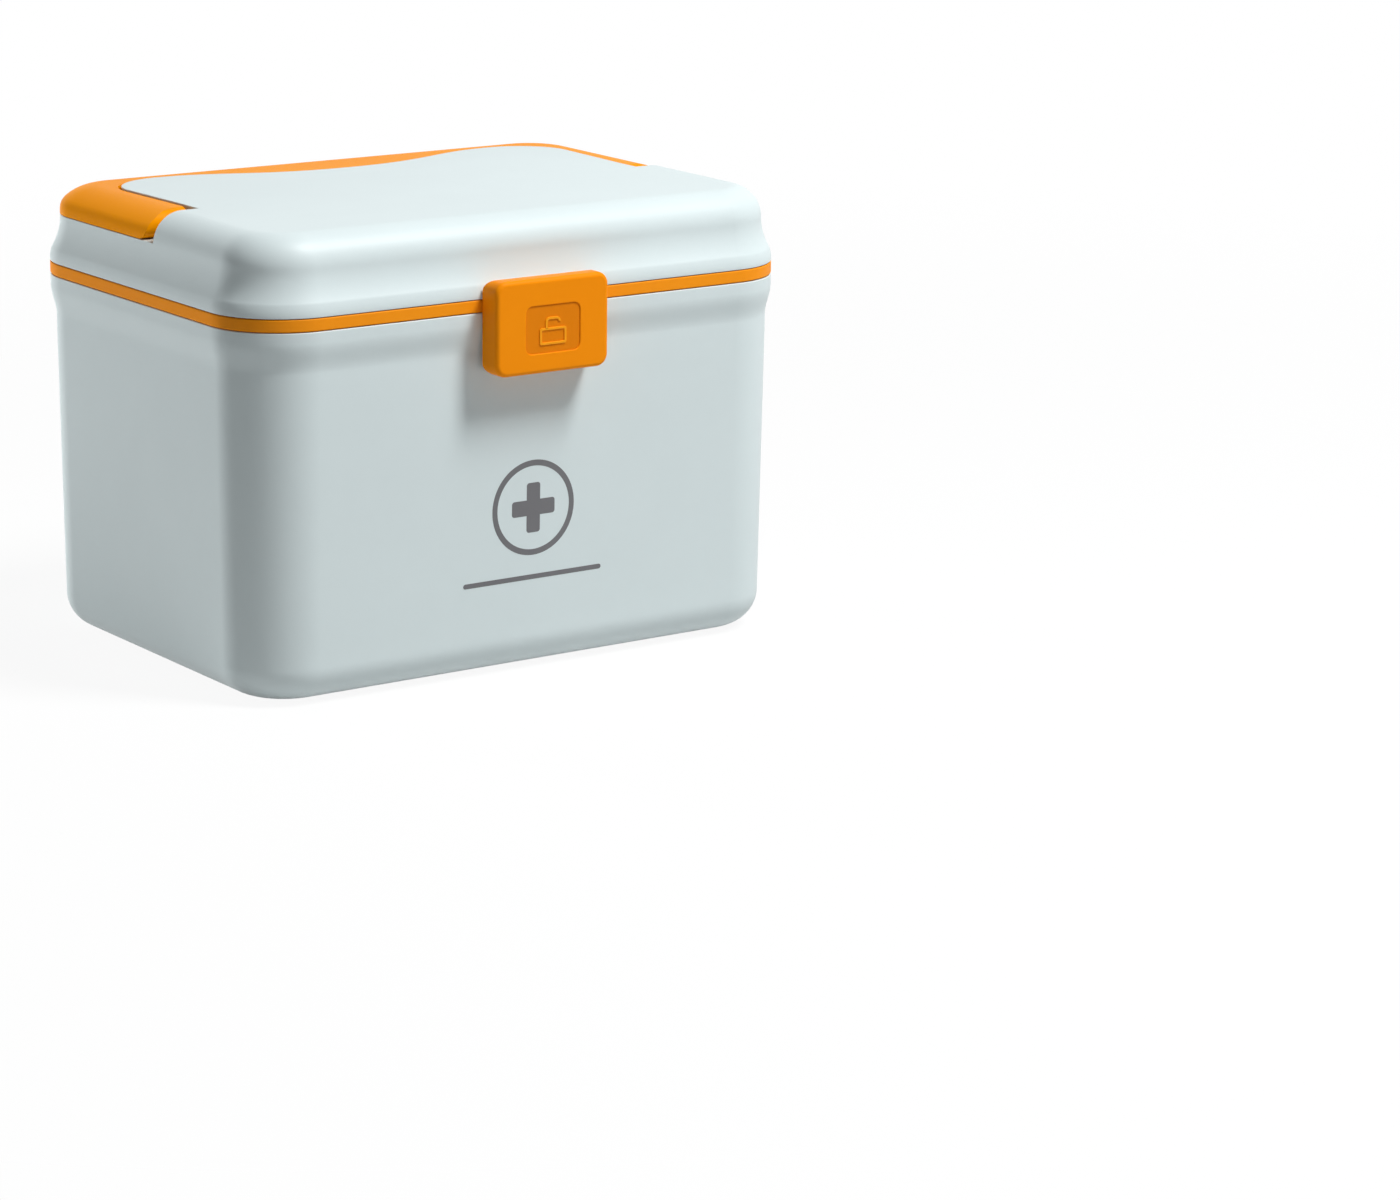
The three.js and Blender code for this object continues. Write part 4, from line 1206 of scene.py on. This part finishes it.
@dataclass
class Lid:
    """The lid's moulding, its liner and screws, and the ears and knuckles on it."""

    base: float = face_of("seal_band", "+z") + CLEARANCE
    top: float = face_of("lid_shell", "+z")
    base_edge: float = 0.4
    rim_height: float = 3.8
    rim_lead: float = 1.6
    side_inset: float = 4.4
    side_steps: int = 14
    top_radius: float = 13.0
    skirt_inset: float = 4.1
    skirt_inner: float = 6.0
    skirt_drop: float = 4.1
    shelf: float = 173.5
    recess_front: float = -9.5
    recess_edge: float = 0.7
    play: float = 1.3
    liner_base: float = face_of("lid_liner", "-z")
    liner_top: float = face_of("lid_liner", "+z")
    ceiling: float = 166.7
    liner_edge: float = 0.6
    knuckle_half: float = 10.4
    knuckle_rise: float = 7.0
    knuckle_root: float = 90.7
    ear_x: float = 10.5
    ear_half: float = 3.0
    ear_radius: float = 2.4
    ear_arm: float = 1.6
    ear_arm_y: Pair = (-98.7, -90.7)
    ear_bore: float = 1.3
    screw_head: float = 2.9
    screw_head_edge: float = 0.9
    screw_head_height: float = 1.7
    screw_shank: float = 1.25
    screw_length: Pair = (6.8, 8.3)
    screw_slot: Triple = (1.6, 0.3, 0.8)
    screw_hole: float = 1.55

    def envelope(self) -> BMesh:
        """Makes the lid's whole outside with its skirt, open only under the liner.

        Returns:
            The closed solid.
        """
        base, edge, low = self.base, self.base_edge, self.base - self.skirt_drop
        side, shoulder = base + self.rim_height, self.top - self.top_radius
        path = PLAN.path(self.skirt_inner, self.ceiling)
        path.to((self.skirt_inner, low), (self.skirt_inset, low), (self.skirt_inset, base))
        path.to((edge, base), (0.3 * edge, base + 0.3 * edge), (0.0, base + edge))
        path.to((0.0, side - self.rim_lead))
        begin, end = Vector((0, side)), Vector((self.side_inset, shoulder))
        bend = Vector((self.side_inset, (side + shoulder) / 2))
        for step in range(1, self.side_steps + 1):
            share = step / self.side_steps
            path.to(begin.lerp(bend, share).lerp(bend.lerp(end, share), share))
        return PLAN.sweep(path.arc((self.side_inset + self.top_radius, shoulder), -90, 18))

    def cover(self) -> BMesh:
        """Makes the lid with the handle's recess, rounded along the recess's edges.

        Returns:
            The cover.
        """
        front, shelf = self.recess_front, self.shelf
        middle = BOW.column(self.play, -FAR, 0.0, FAR)
        recess = worked(slab(front, FAR, shelf, FAR), Solid.CUT, middle)
        bm = worked(self.envelope(), Solid.CUT, recess)
        soften(bm, self.recess_edge, 3, lambda at: at.z > shelf - NEAR and at.y > front - NEAR, BLUNT)
        return bm

    def knuckles(self) -> BMesh:
        """Makes the lid's two rear knuckles, bored for the pins.

        Returns:
            The knuckles.
        """
        half, wall_z = self.knuckle_half, (self.base, self.base + self.knuckle_rise)
        made = [
            knuckle((x - half, x + half), LID_AXIS, TUB.knuckle_radius, self.knuckle_root, wall_z)
            for x in HINGES_X
        ]
        beside_band = slab(0.0, PLAN.half_depth + 2 * CLEARANCE, 0.0, self.base)
        return worked(merged(*made), Solid.CUT, beside_band, bore(LID_AXIS, TUB.bore_radius))

    def ears(self) -> BMesh:
        """Makes the two ears that carry the latch pin.

        Returns:
            The ears.
        """
        made = []
        y, z = LATCH_AXIS
        front, back = self.ear_arm_y
        for x in (-self.ear_x, self.ear_x):
            x0, x1 = x - self.ear_half, x + self.ear_half
            ear = knuckle((x0, x1), LATCH_AXIS, self.ear_radius, y, (self.base, z))
            arm = block((x0, front, self.base), (x1, back, self.base + self.ear_arm))
            made.append(worked(ear, Solid.ADD, arm))
        return worked(merged(*made), Solid.CUT, bore(LATCH_AXIS, self.ear_bore, 32))

    def screws(self) -> list[tuple[str, float, float]]:
        """Names the liner's screws and says where the frame has them."""
        return [(node, *spot_of(node)[0][:2]) for node in ("liner_screw_" + number for number in "1234")]

    def liner(self) -> BMesh:
        """Makes the liner with softened lower edges and its screw holes.

        Returns:
            The liner.
        """
        inset, edge = self.skirt_inner + CLEARANCE, self.liner_edge
        base, top = self.liner_base, self.liner_top
        path = PLAN.path(inset + edge, base).arc((inset + edge, base + edge), -90, 4).to((inset, top))
        middle = (base + top) / 2
        holes = [cylinder(self.screw_hole, (x, y, middle), 2 * PAST, "Z", 32) for _, x, y in self.screws()]
        return worked(PLAN.sweep(path), Solid.CUT, *holes)

    def screw(self, x: float, y: float) -> BMesh:
        """Makes a headed screw with a cross slot.

        Args:
            x: Its middle.
            y: Its middle.

        Returns:
            The screw.
        """
        head, edge, shank = self.screw_head, self.screw_head_edge, self.screw_shank
        top, flat = self.liner_base - CLEARANCE, head - edge
        base = top - self.screw_head_height
        path = Path(front_view(y, x), (0.0, base)).to((flat, base))
        path.arc((flat, base + edge), 90, 5).to((head, top), (shank, top))
        straight, pointed = self.screw_length
        path.to((shank, top + straight), (0.0, top + pointed))
        long, narrow, deep = self.screw_slot
        slots = [
            block((x - a, y - b, base - PAST), (x + a, y + b, top - deep))
            for a, b in ((long, narrow), (narrow, long))
        ]
        return worked(path.turned(32), Solid.CUT, *slots)

    def build(self) -> None:
        """Builds the lid and all that is fixed to it."""
        piece("lid_cover", self.cover(), Body.LID, PALE_SHELL, "lid_shell")
        piece("lid_hinge_knuckles", self.knuckles(), Body.LID, PALE_SHELL, "lid_shell")
        piece("lid_latch_ears", self.ears(), Body.LID, PALE_SHELL, "lid_shell")
        piece("lid_liner_panel", self.liner(), Body.LID, PALE_SHELL, "lid_liner")
        for node, x, y in self.screws():
            piece(node + "_headed", self.screw(x, y), Body.LID, PIN_STEEL, node)


LID = Lid()


# Handle


@dataclass
class Handle:
    """The U-shaped carrying handle, folded into the lid."""

    bottom: float = face_of("handle", "-z")
    top: float = face_of("handle", "+z")
    under: float = 160.0
    skin: float = 2.6
    shoulder: float = 6.5
    crown: float = 20.0
    turn: float = 50.0
    edge: float = 0.9
    rib: float = 1.8
    rib_spacing: float = 40.5
    hollow_front: float = 13.2
    bore_radius: float = 2.5
    bore_length: float = 237.0
    pin_radius: float = 2.2
    pin_head: Pair = (3.3, 1.6)

    def outside(self, sunk: float) -> BMesh:
        """Makes the handle's outside: a side up from well below, a close shoulder and a slowly rounded top.

        Args:
            sunk: How far inside that surface it lies.

        Returns:
            The solid.
        """
        inset, close = LID.side_inset, self.shoulder
        further = self.crown - close
        out, down = (further * part(math.radians(self.turn)) for part in (math.cos, math.sin))
        start = self.top - self.crown + down
        path = PLAN.path(inset + sunk, self.under).to((inset + sunk, start))
        path.arc((inset + close, start), -self.turn, 8)
        path.arc((inset + close + out, start - down), self.turn - 90, 10)
        return PLAN.sweep(path)

    def bow(self) -> BMesh:
        """Makes the handle's solid form with its round leg ends, rounded along its edges.

        Returns:
            The bow.
        """
        y, z = HANDLE_AXIS
        path = Path(side_view(-FAR), (y, self.top)).arc((y, z), 180, 32)
        path.to((FAR, self.bottom), (FAR, z + (self.top - self.bottom) / 2))
        bm = worked(self.outside(0.0), Solid.KEEP_COMMON, path.prism(2 * FAR))
        bm = worked(bm, Solid.CUT, BOW.column(0.0, -FAR, 0.0, FAR))
        soften(bm, self.edge, 4, degrees=BLUNT)
        return bm

    def hollow(self) -> BMesh:
        """Makes the hollow on the handle's underside, with ribs left standing in it.

        Returns:
            The cutter.
        """
        half = self.rib / 2
        ribs = [
            block((x - half, 0.0, 0.0), (x + half, FAR, FAR))
            for x in (self.rib_spacing * number for number in range(-2, 3))
        ]
        reach = slab(self.hollow_front, FAR, 0.0, FAR)
        bm = worked(self.outside(self.skin), Solid.KEEP_COMMON, reach)
        return worked(bm, Solid.CUT, BOW.column(-self.skin, -FAR, 0.0, FAR), *ribs)

    def pin(self, node: str) -> BMesh:
        """Makes a pivot pin with its head on the inner side.

        Args:
            node: The CAD pin that it stands for.

        Returns:
            The pin.
        """
        (x, y, z), (length, _, _) = spot_of(node)
        radius, head = self.pin_head
        outward = math.copysign(1.0, x)
        shank = rimmed(self.pin_radius, (x + outward * head / 4, y, z), length - head / 2)
        cap = rimmed(radius, (x - outward * (length - head) / 2, y, z), head)
        return worked(shank, Solid.ADD, cap)

    def build(self) -> None:
        """Builds the handle and its pins."""
        across = cylinder(self.bore_radius, (0, *HANDLE_AXIS), self.bore_length, "X", 40)
        bm = worked(self.bow(), Solid.CUT, self.hollow(), across)
        piece("carrying_bow", bm, Body.HANDLE, ORANGE_HANDLE, "handle")
        for side in SIDES:
            node = "handle_pin_" + side
            piece(node + "_turned", self.pin(node), Body.LID, PIN_STEEL, node)


# Latch


@dataclass
class Latch:
    """The front flap, its inlay with the lock figure, and its pin."""

    half_width: float = face_of("latch_flap", "+x")
    top: float = face_of("latch_flap", "+z")
    bottom: float = face_of("latch_flap", "-z")
    front: float = face_of("latch_flap", "-y")
    back: float = face_of("latch_flap", "+y")
    corner: float = 5.0
    edge: float = 1.9
    round_back: float = 4.2
    skin: float = 3.0
    wall: float = 2.4
    ear_play: float = 0.45
    lip_half: float = 18.0
    lip_edge: float = 0.2
    lip_height: Pair = (-1.0, 2.1)
    bore_x: Pair = (-20.3, 27.5)
    window: Pair = (25.5, 19.0)
    window_corner: float = 3.0
    window_drop: float = 20.3
    window_sink: float = 0.45
    window_edge: float = 0.4
    plate: float = 1.1
    plate_play: float = 0.04
    relief: float = 0.4
    relief_root: float = 0.2
    relief_edge: float = 0.15
    line: float = 1.0
    figure_half: float = 6.3
    figure_height: float = 6.8
    figure_rise: float = 0.5
    shackle_half: float = 3.6
    shackle_height: float = 4.2
    shackle_bend: float = 2.0

    @property
    def window_z(self) -> float:
        """Gives the level of the window's middle."""
        return self.top - self.window_drop

    def windowed(self, grow: float, y0: float, y1: float) -> BMesh:
        """Makes a block with the window's outline.

        Args:
            grow: How much larger it is on each side.
            y0: The y at which it starts.
            y1: The y at which it ends.

        Returns:
            The block.
        """
        x, z = self.window[0] / 2 + grow, self.window[1] / 2 + grow
        low, high = (-x, self.window_z - z), (x, self.window_z + z)
        return rounded_block(low, high, self.window_corner + grow, y0, y1)

    def body(self) -> BMesh:
        """Makes the flap's outer form: soft all round its front, and round at its rear top and bottom.

        Returns:
            The solid.
        """
        low, high = (-self.half_width, self.bottom), (self.half_width, self.top)
        bm = rounded_block(low, high, self.corner, self.front, 0.0, 12)
        soften(bm, self.edge, 6, lambda at: at.y < self.front + NEAR, BLUNT)
        ahead, back, rounding = self.front - PAST, self.back - self.round_back, self.round_back
        path = Path(side_view(-FAR), (ahead, self.bottom)).to((back, self.bottom))
        path.arc((back, self.bottom + rounding), 90, 10).to((self.back, self.top - rounding))
        path.arc((back, self.top - rounding), 90, 10).to((ahead, self.top))
        return worked(bm, Solid.KEEP_COMMON, path.prism(2 * FAR))

    def ear_space(self, x: float) -> BMesh:
        """Makes the clear space that one of the lid's ears needs in the flap.

        Args:
            x: Middle of the ear.

        Returns:
            The cutter.
        """
        y, z = LATCH_AXIS
        half, swing = LID.ear_half + self.ear_play, LID.ear_radius + self.ear_play
        notch = z - LID.base - LID.ear_arm - CLEARANCE
        start = math.degrees(math.acos(notch / swing))
        low, over = self.bottom + self.wall, self.top + PAST
        path = Path(side_view(x - half), (0.0, low)).to((0.0, over), (y + notch, over))
        path.to((y + notch, z + swing * math.sin(math.radians(start)))).arc((y, z), 180 - start, 14)
        path.to((self.front + self.skin, z), (self.front + self.skin, low))
        return path.prism(2 * half)

    def flap(self) -> BMesh:
        """Makes the flap with its hollow, ear spaces, lip, window pocket and pin bore.

        Returns:
            The flap.
        """
        deep = self.front + self.window_sink + self.plate + CLEARANCE
        pocket = self.windowed(0.0, self.front - PAST, deep)
        inner, low = self.half_width - self.wall, self.bottom + self.wall
        ceiling = LATCH_AXIS[1] - self.round_back
        hollow = block((-inner, self.front + self.skin, low), (inner, 0.0, ceiling))
        spaces = [self.ear_space(x) for x in (-LID.ear_x, LID.ear_x)]
        bm = worked(self.body(), Solid.CUT, pocket)
        beside = self.window[0] / 2 + 1
        soften(bm, self.window_edge, 4, lambda at: at.y < self.front + NEAR and abs(at.x) < beside)
        bm = worked(bm, Solid.CUT, hollow, *spaces)
        under, over = (low + height for height in self.lip_height)
        ahead, behind = self.back - self.wall, self.back
        lip = block((-self.lip_half, ahead, under), (self.lip_half, behind, over), self.lip_edge)
        bm = worked(bm, Solid.ADD, lip)
        left, right = self.bore_x
        across = cylinder(LID.ear_bore, ((left + right) / 2, *LATCH_AXIS), right - left, "X", 32)
        return worked(bm, Solid.CUT, across)

    def lock_body(self, level: float) -> BMesh:
        """Makes the frame of the lock figure.

        Args:
            level: The y of its front.

        Returns:
            The frame.
        """
        line, half, top = self.line, self.figure_half, self.window_z + self.figure_rise
        base = top - self.figure_height
        bm = rounded_block((-half, base), (half, top), line, level, level + self.relief + self.relief_root, 5)
        low, high = (line - half, base + line), (half - line, top - line)
        return worked(bm, Solid.CUT, rounded_block(low, high, line / 2, level - PAST, level + PAST, 4))

    def shackle(self, level: float) -> BMesh:
        """Makes the open shackle of the lock figure.

        Args:
            level: The y of its front.

        Returns:
            The shackle.
        """
        half, line = self.shackle_half, self.line
        foot = self.window_z + self.figure_rise - line / 2
        top = foot + line / 2 + self.shackle_height
        left, right, bend = self.shackle_bend - half, half - self.shackle_bend, top - self.shackle_bend
        path = Path(front_view(level), (-half, foot)).to((-half, bend))
        path.arc((left, bend), -90, 7).to((right, top)).arc((right, bend), -90, 7)
        path.to((half - line, bend)).arc((right, bend), 90, 7)
        path.to((left, top - line)).arc((left, bend), 90, 7).to((line - half, foot))
        return path.prism(-self.relief - self.relief_root)

    def lock(self) -> BMesh:
        """Makes the lock figure that stands on the plate.

        Returns:
            The figure.
        """
        level = self.front + self.window_sink - self.relief
        parts = self.lock_body(level), self.shackle(level)
        for part in parts:
            soften(part, self.relief_edge, 2, lambda at: at.y < level + NEAR)
        return merged(*parts)

    def inlay(self) -> BMesh:
        """Makes the plate in the window.

        Returns:
            The inlay.
        """
        face = self.front + self.window_sink
        plate = self.windowed(-self.plate_play, face, face + self.plate)
        soften(plate, 2 * self.plate_play, 1, lambda at: at.y < face + NEAR)
        return plate

    def build(self) -> None:
        """Builds the latch and its pin."""
        piece("latch_block", self.flap(), Body.LATCH, ORANGE_LATCH, "latch_flap")
        # The window's darker orange is partly painted shade.
        piece("latch_window", self.inlay(), Body.LATCH, WINDOW_ORANGE_TONE_AND_SHADE, "latch_inlay")
        # The lock figure's lighter orange is a painted highlight.
        piece("latch_lock_figure", self.lock(), Body.LATCH, PAINTED_HIGHLIGHT_RELIEF, "latch_inlay")
        piece("latch_pin_turned", pin_for("latch_pin", sides=32), Body.LID, PIN_STEEL, "latch_pin")


# Tray


@dataclass
class Tray:
    """The lift-out tray with its fixed walls, lift tabs and loose dividers."""

    base: float = face_of("inner_tray", "-z")
    top: float = 139.9
    flange_base: float = 137.9
    flange_inset: float = 6.8
    flange_edges: Pair = (0.4, 0.6)
    inset: float = 10.4
    inner_edge: float = 0.5
    wall: float = 1.8
    floor: float = 2.0
    fillet: float = 5.0
    overlap: float = 0.6
    split_y: float = -14.0
    cross_x: float = 40.0
    wall_drop: float = 2.0
    wall_edge: float = 0.5
    root: float = 0.5
    rib_width: float = 1.5
    rib_reach: float = 2.6
    rib_edge: float = 0.35
    tab_tip: float = face_of("inner_tray", "+z")
    tab_half: float = 28.0
    tab_root: float = 5.0
    tab_corner: float = 4.9
    tab_edge: float = 0.4
    slot_half: float = 17.0
    slot_edge: float = 2.0
    slot_corner: float = 2.9
    divider_thickness: float = spot_of("tray_divider_1")[1][0]
    divider_top: float = face_of("tray_divider_1", "+z")
    divider_edge: float = 0.3
    notch: float = 9.0

    @property
    def inner(self) -> float:
        """Gives the inset of the tray's inside."""
        return self.inset + self.wall

    @property
    def floor_z(self) -> float:
        """Gives the level of the tray's floor."""
        return self.base + self.floor

    def shell(self) -> BMesh:
        """Makes the tray's walls, floor and flange in one closed sweep.

        Returns:
            The shell.
        """
        inset, fillet, base, top = self.inset, self.fillet, self.base, self.top
        flange, (under, over) = self.flange_inset, self.flange_edges
        path = PLAN.path(inset + fillet, base).arc((inset + fillet, base + fillet), -90, 8)
        path.to((inset, self.flange_base), (flange + under, self.flange_base))
        path.to((flange, self.flange_base + under), (flange, top - over))
        path.arc((flange + over, top - over), -90, 3)
        inner, edge, rise = self.inner, self.inner_edge, fillet - self.floor
        path.to((inner - edge, top)).arc((inner - edge, top - edge), -90, 3)
        path.to((inner, self.floor_z + rise)).arc((inner + rise, self.floor_z + rise), 90, 6)
        return PLAN.sweep(path)

    def walls(self) -> BMesh:
        """Makes the fixed walls and the ribs that hold the dividers.

        Returns:
            The walls.
        """
        low, high, half = self.floor_z - self.root, self.top - self.wall_drop, self.wall / 2
        side = PLAN.half_width - self.inner + self.overlap
        rear = PLAN.half_depth - self.inner + self.overlap
        made = [block((-side, self.split_y - half, low), (side, self.split_y + half, high))]
        for x in (-self.cross_x, self.cross_x):
            made.append(block((x - half, self.split_y, low), (x + half, rear, high)))
        for wall in made:
            soften(wall, self.wall_edge, 3, lambda at: at.z > high - NEAR)
        front, split, reach = self.inner - PLAN.half_depth, self.split_y - half, self.rib_reach
        for x in DIVIDERS_X:
            for sign in (-1, 1):
                near = x + sign * (self.divider_thickness / 2 + CLEARANCE)
                for y0, y1 in ((front - self.overlap, front + reach), (split - reach, split + self.root)):
                    rib = block((near, y0, low), (near + sign * self.rib_width, y1, high))
                    soften(rib, self.rib_edge, 2, lambda at: at.z > high - NEAR)
                    made.append(rib)
        return merged(*made)

    def tabs(self) -> BMesh:
        """Makes the two lift tabs, each with a finger slot.

        Returns:
            The tabs.
        """
        made = []
        half, slot, edge, tip = self.tab_half, self.slot_half, self.slot_edge, self.tab_tip
        quarter = Matrix.Rotation(math.pi / 2, 4, "Z")
        for x in (PLAN.half_width - self.inner, self.inset - PLAN.half_width):
            low, high = (-half, self.flange_base - self.tab_root), (half, tip)
            plate = rounded_block(low, high, self.tab_corner, 0.0, -self.wall, 10)
            low, high = (-slot, self.top + edge), (slot, tip - edge)
            tab = worked(plate, Solid.CUT, rounded_block(low, high, self.slot_corner, PAST, -2 * PAST))
            soften(tab, self.tab_edge, 3, lambda at: at.z > self.top)
            bmesh.ops.transform(tab, matrix=Matrix.Translation((x, 0, 0)) @ quarter, verts=tab.verts[:])
            made.append(tab)
        return merged(*made)

    def divider(self, x: float) -> BMesh:
        """Makes one loose divider with a finger notch.

        Args:
            x: Where it stands.

        Returns:
            The divider.
        """
        front = self.inner - PLAN.half_depth + CLEARANCE
        back = self.split_y - self.wall / 2 - CLEARANCE
        low, high, lift = self.floor_z + CLEARANCE, self.divider_top, self.fillet - self.floor
        middle = (front + back) / 2
        path = Path(side_view(x - self.divider_thickness / 2), (front + lift, low))
        path.to((back, low), (back, high), (middle + self.notch, high)).arc((middle, high), -180, 20)
        bm = path.to((front, high), (front, low + lift)).prism(self.divider_thickness)
        soften(bm, self.divider_edge, 2, lambda at: at.z > low + lift)
        return bm

    def build(self) -> None:
        """Builds the tray and its dividers."""
        piece("tray_shell", self.shell(), Body.TRAY, TRAY_WHITE, "inner_tray")
        piece("tray_fixed_walls", self.walls(), Body.TRAY, TRAY_WHITE, "inner_tray")
        piece("tray_lift_tabs", self.tabs(), Body.TRAY, TRAY_WHITE, "inner_tray")
        for number, x in enumerate(DIVIDERS_X, 1):
            node = "tray_divider_" + str(number)
            piece(node + "_plate", self.divider(x), Body.TRAY, DIVIDER_WHITE, node)


# Print


@dataclass
class FrontPrint:
    """A plain grey print on the front wall: a ring, a rounded cross in it and a rule below."""

    thickness: float = 0.06
    ring_z: float = 67.5
    ring_radius: float = 19.5
    ring_line: float = 2.4
    arm: float = 10.2
    arm_half: float = 3.2
    arm_corner: float = 1.2
    rule_z: float = 39.0
    rule_half: float = 33.0
    rule_line: float = 2.0
    rule_corner: float = 0.98

    def laid(self, bm: BMesh) -> BMesh:
        """Tilts a flat shape, drawn at y = 0, onto the front wall.

        Args:
            bm: The shape.

        Returns:
            The same shape in place.
        """
        low_z = TUB.foot_proud + TUB.base_fillet
        slope = (TUB.inset_low - TUB.inset_high) / (TUB.top - TUB.flare_drop - low_z)
        for vert in bm.verts:
            vert.co.y += TUB.inset_low - slope * (vert.co.z - low_z) - PLAN.half_depth
        return bm

    def bar(self, half_x: float, half_z: float, z: float, radius: float) -> BMesh:
        """Makes one printed bar.

        Args:
            half_x: Half its width.
            half_z: Half its height.
            z: Its middle.
            radius: Corner radius.

        Returns:
            The bar.
        """
        low, high = (-half_x, z - half_z), (half_x, z + half_z)
        return rounded_block(low, high, radius, -self.thickness, self.thickness)

    def build(self) -> None:
        """Builds the print."""
        z, middle = self.ring_z, (0, 0, self.ring_z)
        disc = cylinder(self.ring_radius, middle, 2 * self.thickness, "Y", 96)
        hole = cylinder(self.ring_radius - self.ring_line, middle, 2 * PAST, "Y", 96)
        ring = worked(disc, Solid.CUT, hole)
        level = self.bar(self.arm, self.arm_half, z, self.arm_corner)
        upright = self.bar(self.arm_half, self.arm, z, self.arm_corner)
        cross = worked(level, Solid.ADD, upright)
        rule = self.bar(self.rule_half, self.rule_line / 2, self.rule_z, self.rule_corner)
        piece("front_print", self.laid(merged(ring, cross, rule)), Body.TUB, PRINT_GREY)


# Stage


@dataclass(frozen=True)
class Lamp:
    """A soft lamp. Its place and size are in metres."""

    name: str
    at: Triple
    size: Pair
    watts: float
    mirrored: bool = True

    def hang(self, aim: Sequence[float]) -> None:
        """Hangs the lamp.

        Args:
            aim: The point that it faces, in metres.
        """
        data = bpy.data.lights.new(self.name, "AREA")
        data.shape = "RECTANGLE"
        data.size, data.size_y = self.size
        data.energy = self.watts
        made = linked(self.name, data)
        made.location = self.at
        made.visible_glossy = self.mirrored
        made.rotation_euler = (Vector(aim) - Vector(self.at)).to_track_quat("-Z", "Y").to_euler()


@dataclass
class Studio:
    """Floor, lamps, world and camera. The camera's place is in millimetres, all other lengths in metres."""

    camera_at: Triple = (-939.03, -1497.37, 463.48)
    azimuth: float = 35.978
    elevation: float = 14.372
    roll: float = -0.7655
    lens: float = 111.88
    aim: Triple = (0.0, 0.0, 0.09)
    key: Lamp = Lamp("key_softbox", (0.634, -0.962, 1.864), (0.45, 0.75), 45.5)
    rear: Lamp = Lamp("rear_softbox", (-0.68, 1.77, 0.12), (0.35, 0.22), 31.5, mirrored=False)
    bounce: float = 0.62
    floor_half: float = 6.0
    floor_white: float = 0.95
    floor_evenness: float = 0.92
    floor_fade: Pair = (0.35, 1.3)
    surround: float = 0.115
    surround_tone: Triple = (0.93, 0.97, 1.0)

    def camera(self) -> None:
        """Places the camera at the photograph's angle."""
        data = bpy.data.cameras.new("camera")
        data.sensor_fit = "HORIZONTAL"
        data.sensor_width = 36.0
        data.lens = self.lens
        data.clip_start = 0.05
        data.clip_end = 50.0
        azimuth, elevation, roll = (math.radians(v) for v in (self.azimuth, self.elevation, self.roll))
        level = Euler((math.pi / 2 - elevation, 0.0, -azimuth)).to_matrix()
        turn = level @ Matrix.Rotation(-roll, 3, "Z")
        made = linked("camera", data)
        made.matrix_world = Matrix.Translation(Vector(self.camera_at) * MM) @ turn.to_4x4()
        bpy.context.scene.camera = made

    @staticmethod
    def looked_at(wires: Wiring) -> NodeSocket:
        """Adds nodes that tell whether a surface is looked at, straight on, mirrored or through.

        Args:
            wires: The nodes that they are added to.

        Returns:
            The socket with 1 for looked at and 0 for light that it gives to others.
        """
        rays = wires.node("LightPath", "Is Camera Ray").node.outputs
        seen, mirrored, through = (rays[f"Is {kind} Ray"] for kind in ("Camera", "Glossy", "Transmission"))
        either = wires.node("Math", "Value", {0: seen, 1: mirrored}, operation="MAXIMUM")
        return wires.node("Math", "Value", {0: either, 1: through}, operation="MAXIMUM")

    def floor(self) -> None:
        """Lays the pale floor, which looks plain white to the camera but keeps the object's shadow."""
        bm = bmesh.new()
        bmesh.ops.create_grid(bm, x_segments=1, y_segments=1, size=self.floor_half)
        made = linked("floor", to_mesh(bm, "floor"))
        material = bpy.data.materials.new("floor_white")
        material.use_nodes = True
        nodes, wires = material.node_tree.nodes, Wiring(material.node_tree)
        nodes.remove(nodes["Principled BSDF"])
        grey, white = (
            wires.node("BsdfDiffuse", "BSDF", {"Color": (tone, tone, tone, 1.0)})
            for tone in (self.bounce, self.floor_white)
        )
        even = wires.mix(self.floor_evenness, white, wires.node("Emission", "Emission"))
        place = wires.node("TexCoord", "Object")
        reach = wires.node("VectorMath", "Value", {0: place}, operation="LENGTH")
        fade = wires.spread(reach, self.floor_fade, (0.0, 1.0), "SMOOTHSTEP")
        faded = wires.mix(fade, even, wires.node("BsdfTransparent", "BSDF"))
        wires.feed(nodes["Material Output"], {"Surface": wires.mix(self.looked_at(wires), grey, faded)})
        made.data.materials.append(material)

    def world(self) -> None:
        """Sets an even pale surround that the camera sees as white."""
        made = bpy.data.worlds.new("surround")
        bpy.context.scene.world = made
        made.use_nodes = True
        nodes, wires = made.node_tree.nodes, Wiring(made.node_tree)
        seen = wires.node("Background", "Background", {"Color": (1.0, 1.0, 1.0, 1.0), "Strength": 1.0})
        lit = nodes["Background"]
        wires.feed(lit, {"Color": (*self.surround_tone, 1.0), "Strength": self.surround})
        mixed = wires.mix(self.looked_at(wires), lit.outputs["Background"], seen)
        wires.feed(nodes["World Output"], {"Surface": mixed})

    def build(self) -> None:
        """Sets up the whole stage."""
        bpy.context.scene.view_settings.view_transform = "Standard"
        self.camera()
        self.floor()
        self.world()
        self.key.hang(self.aim)
        self.rear.hang(self.aim)


def main() -> None:
    """Builds the stage and every sub-assembly, and reports them."""
    logging.basicConfig(level=logging.INFO, format="%(name)s %(message)s")
    Studio().build()
    for part in (TUB, SealBand(), FrontPrint(), LID, Handle(), Latch(), Tray()):
        LOG.info("building %s", type(part).__name__)
        part.build()


if __name__ == "__main__":
    main()
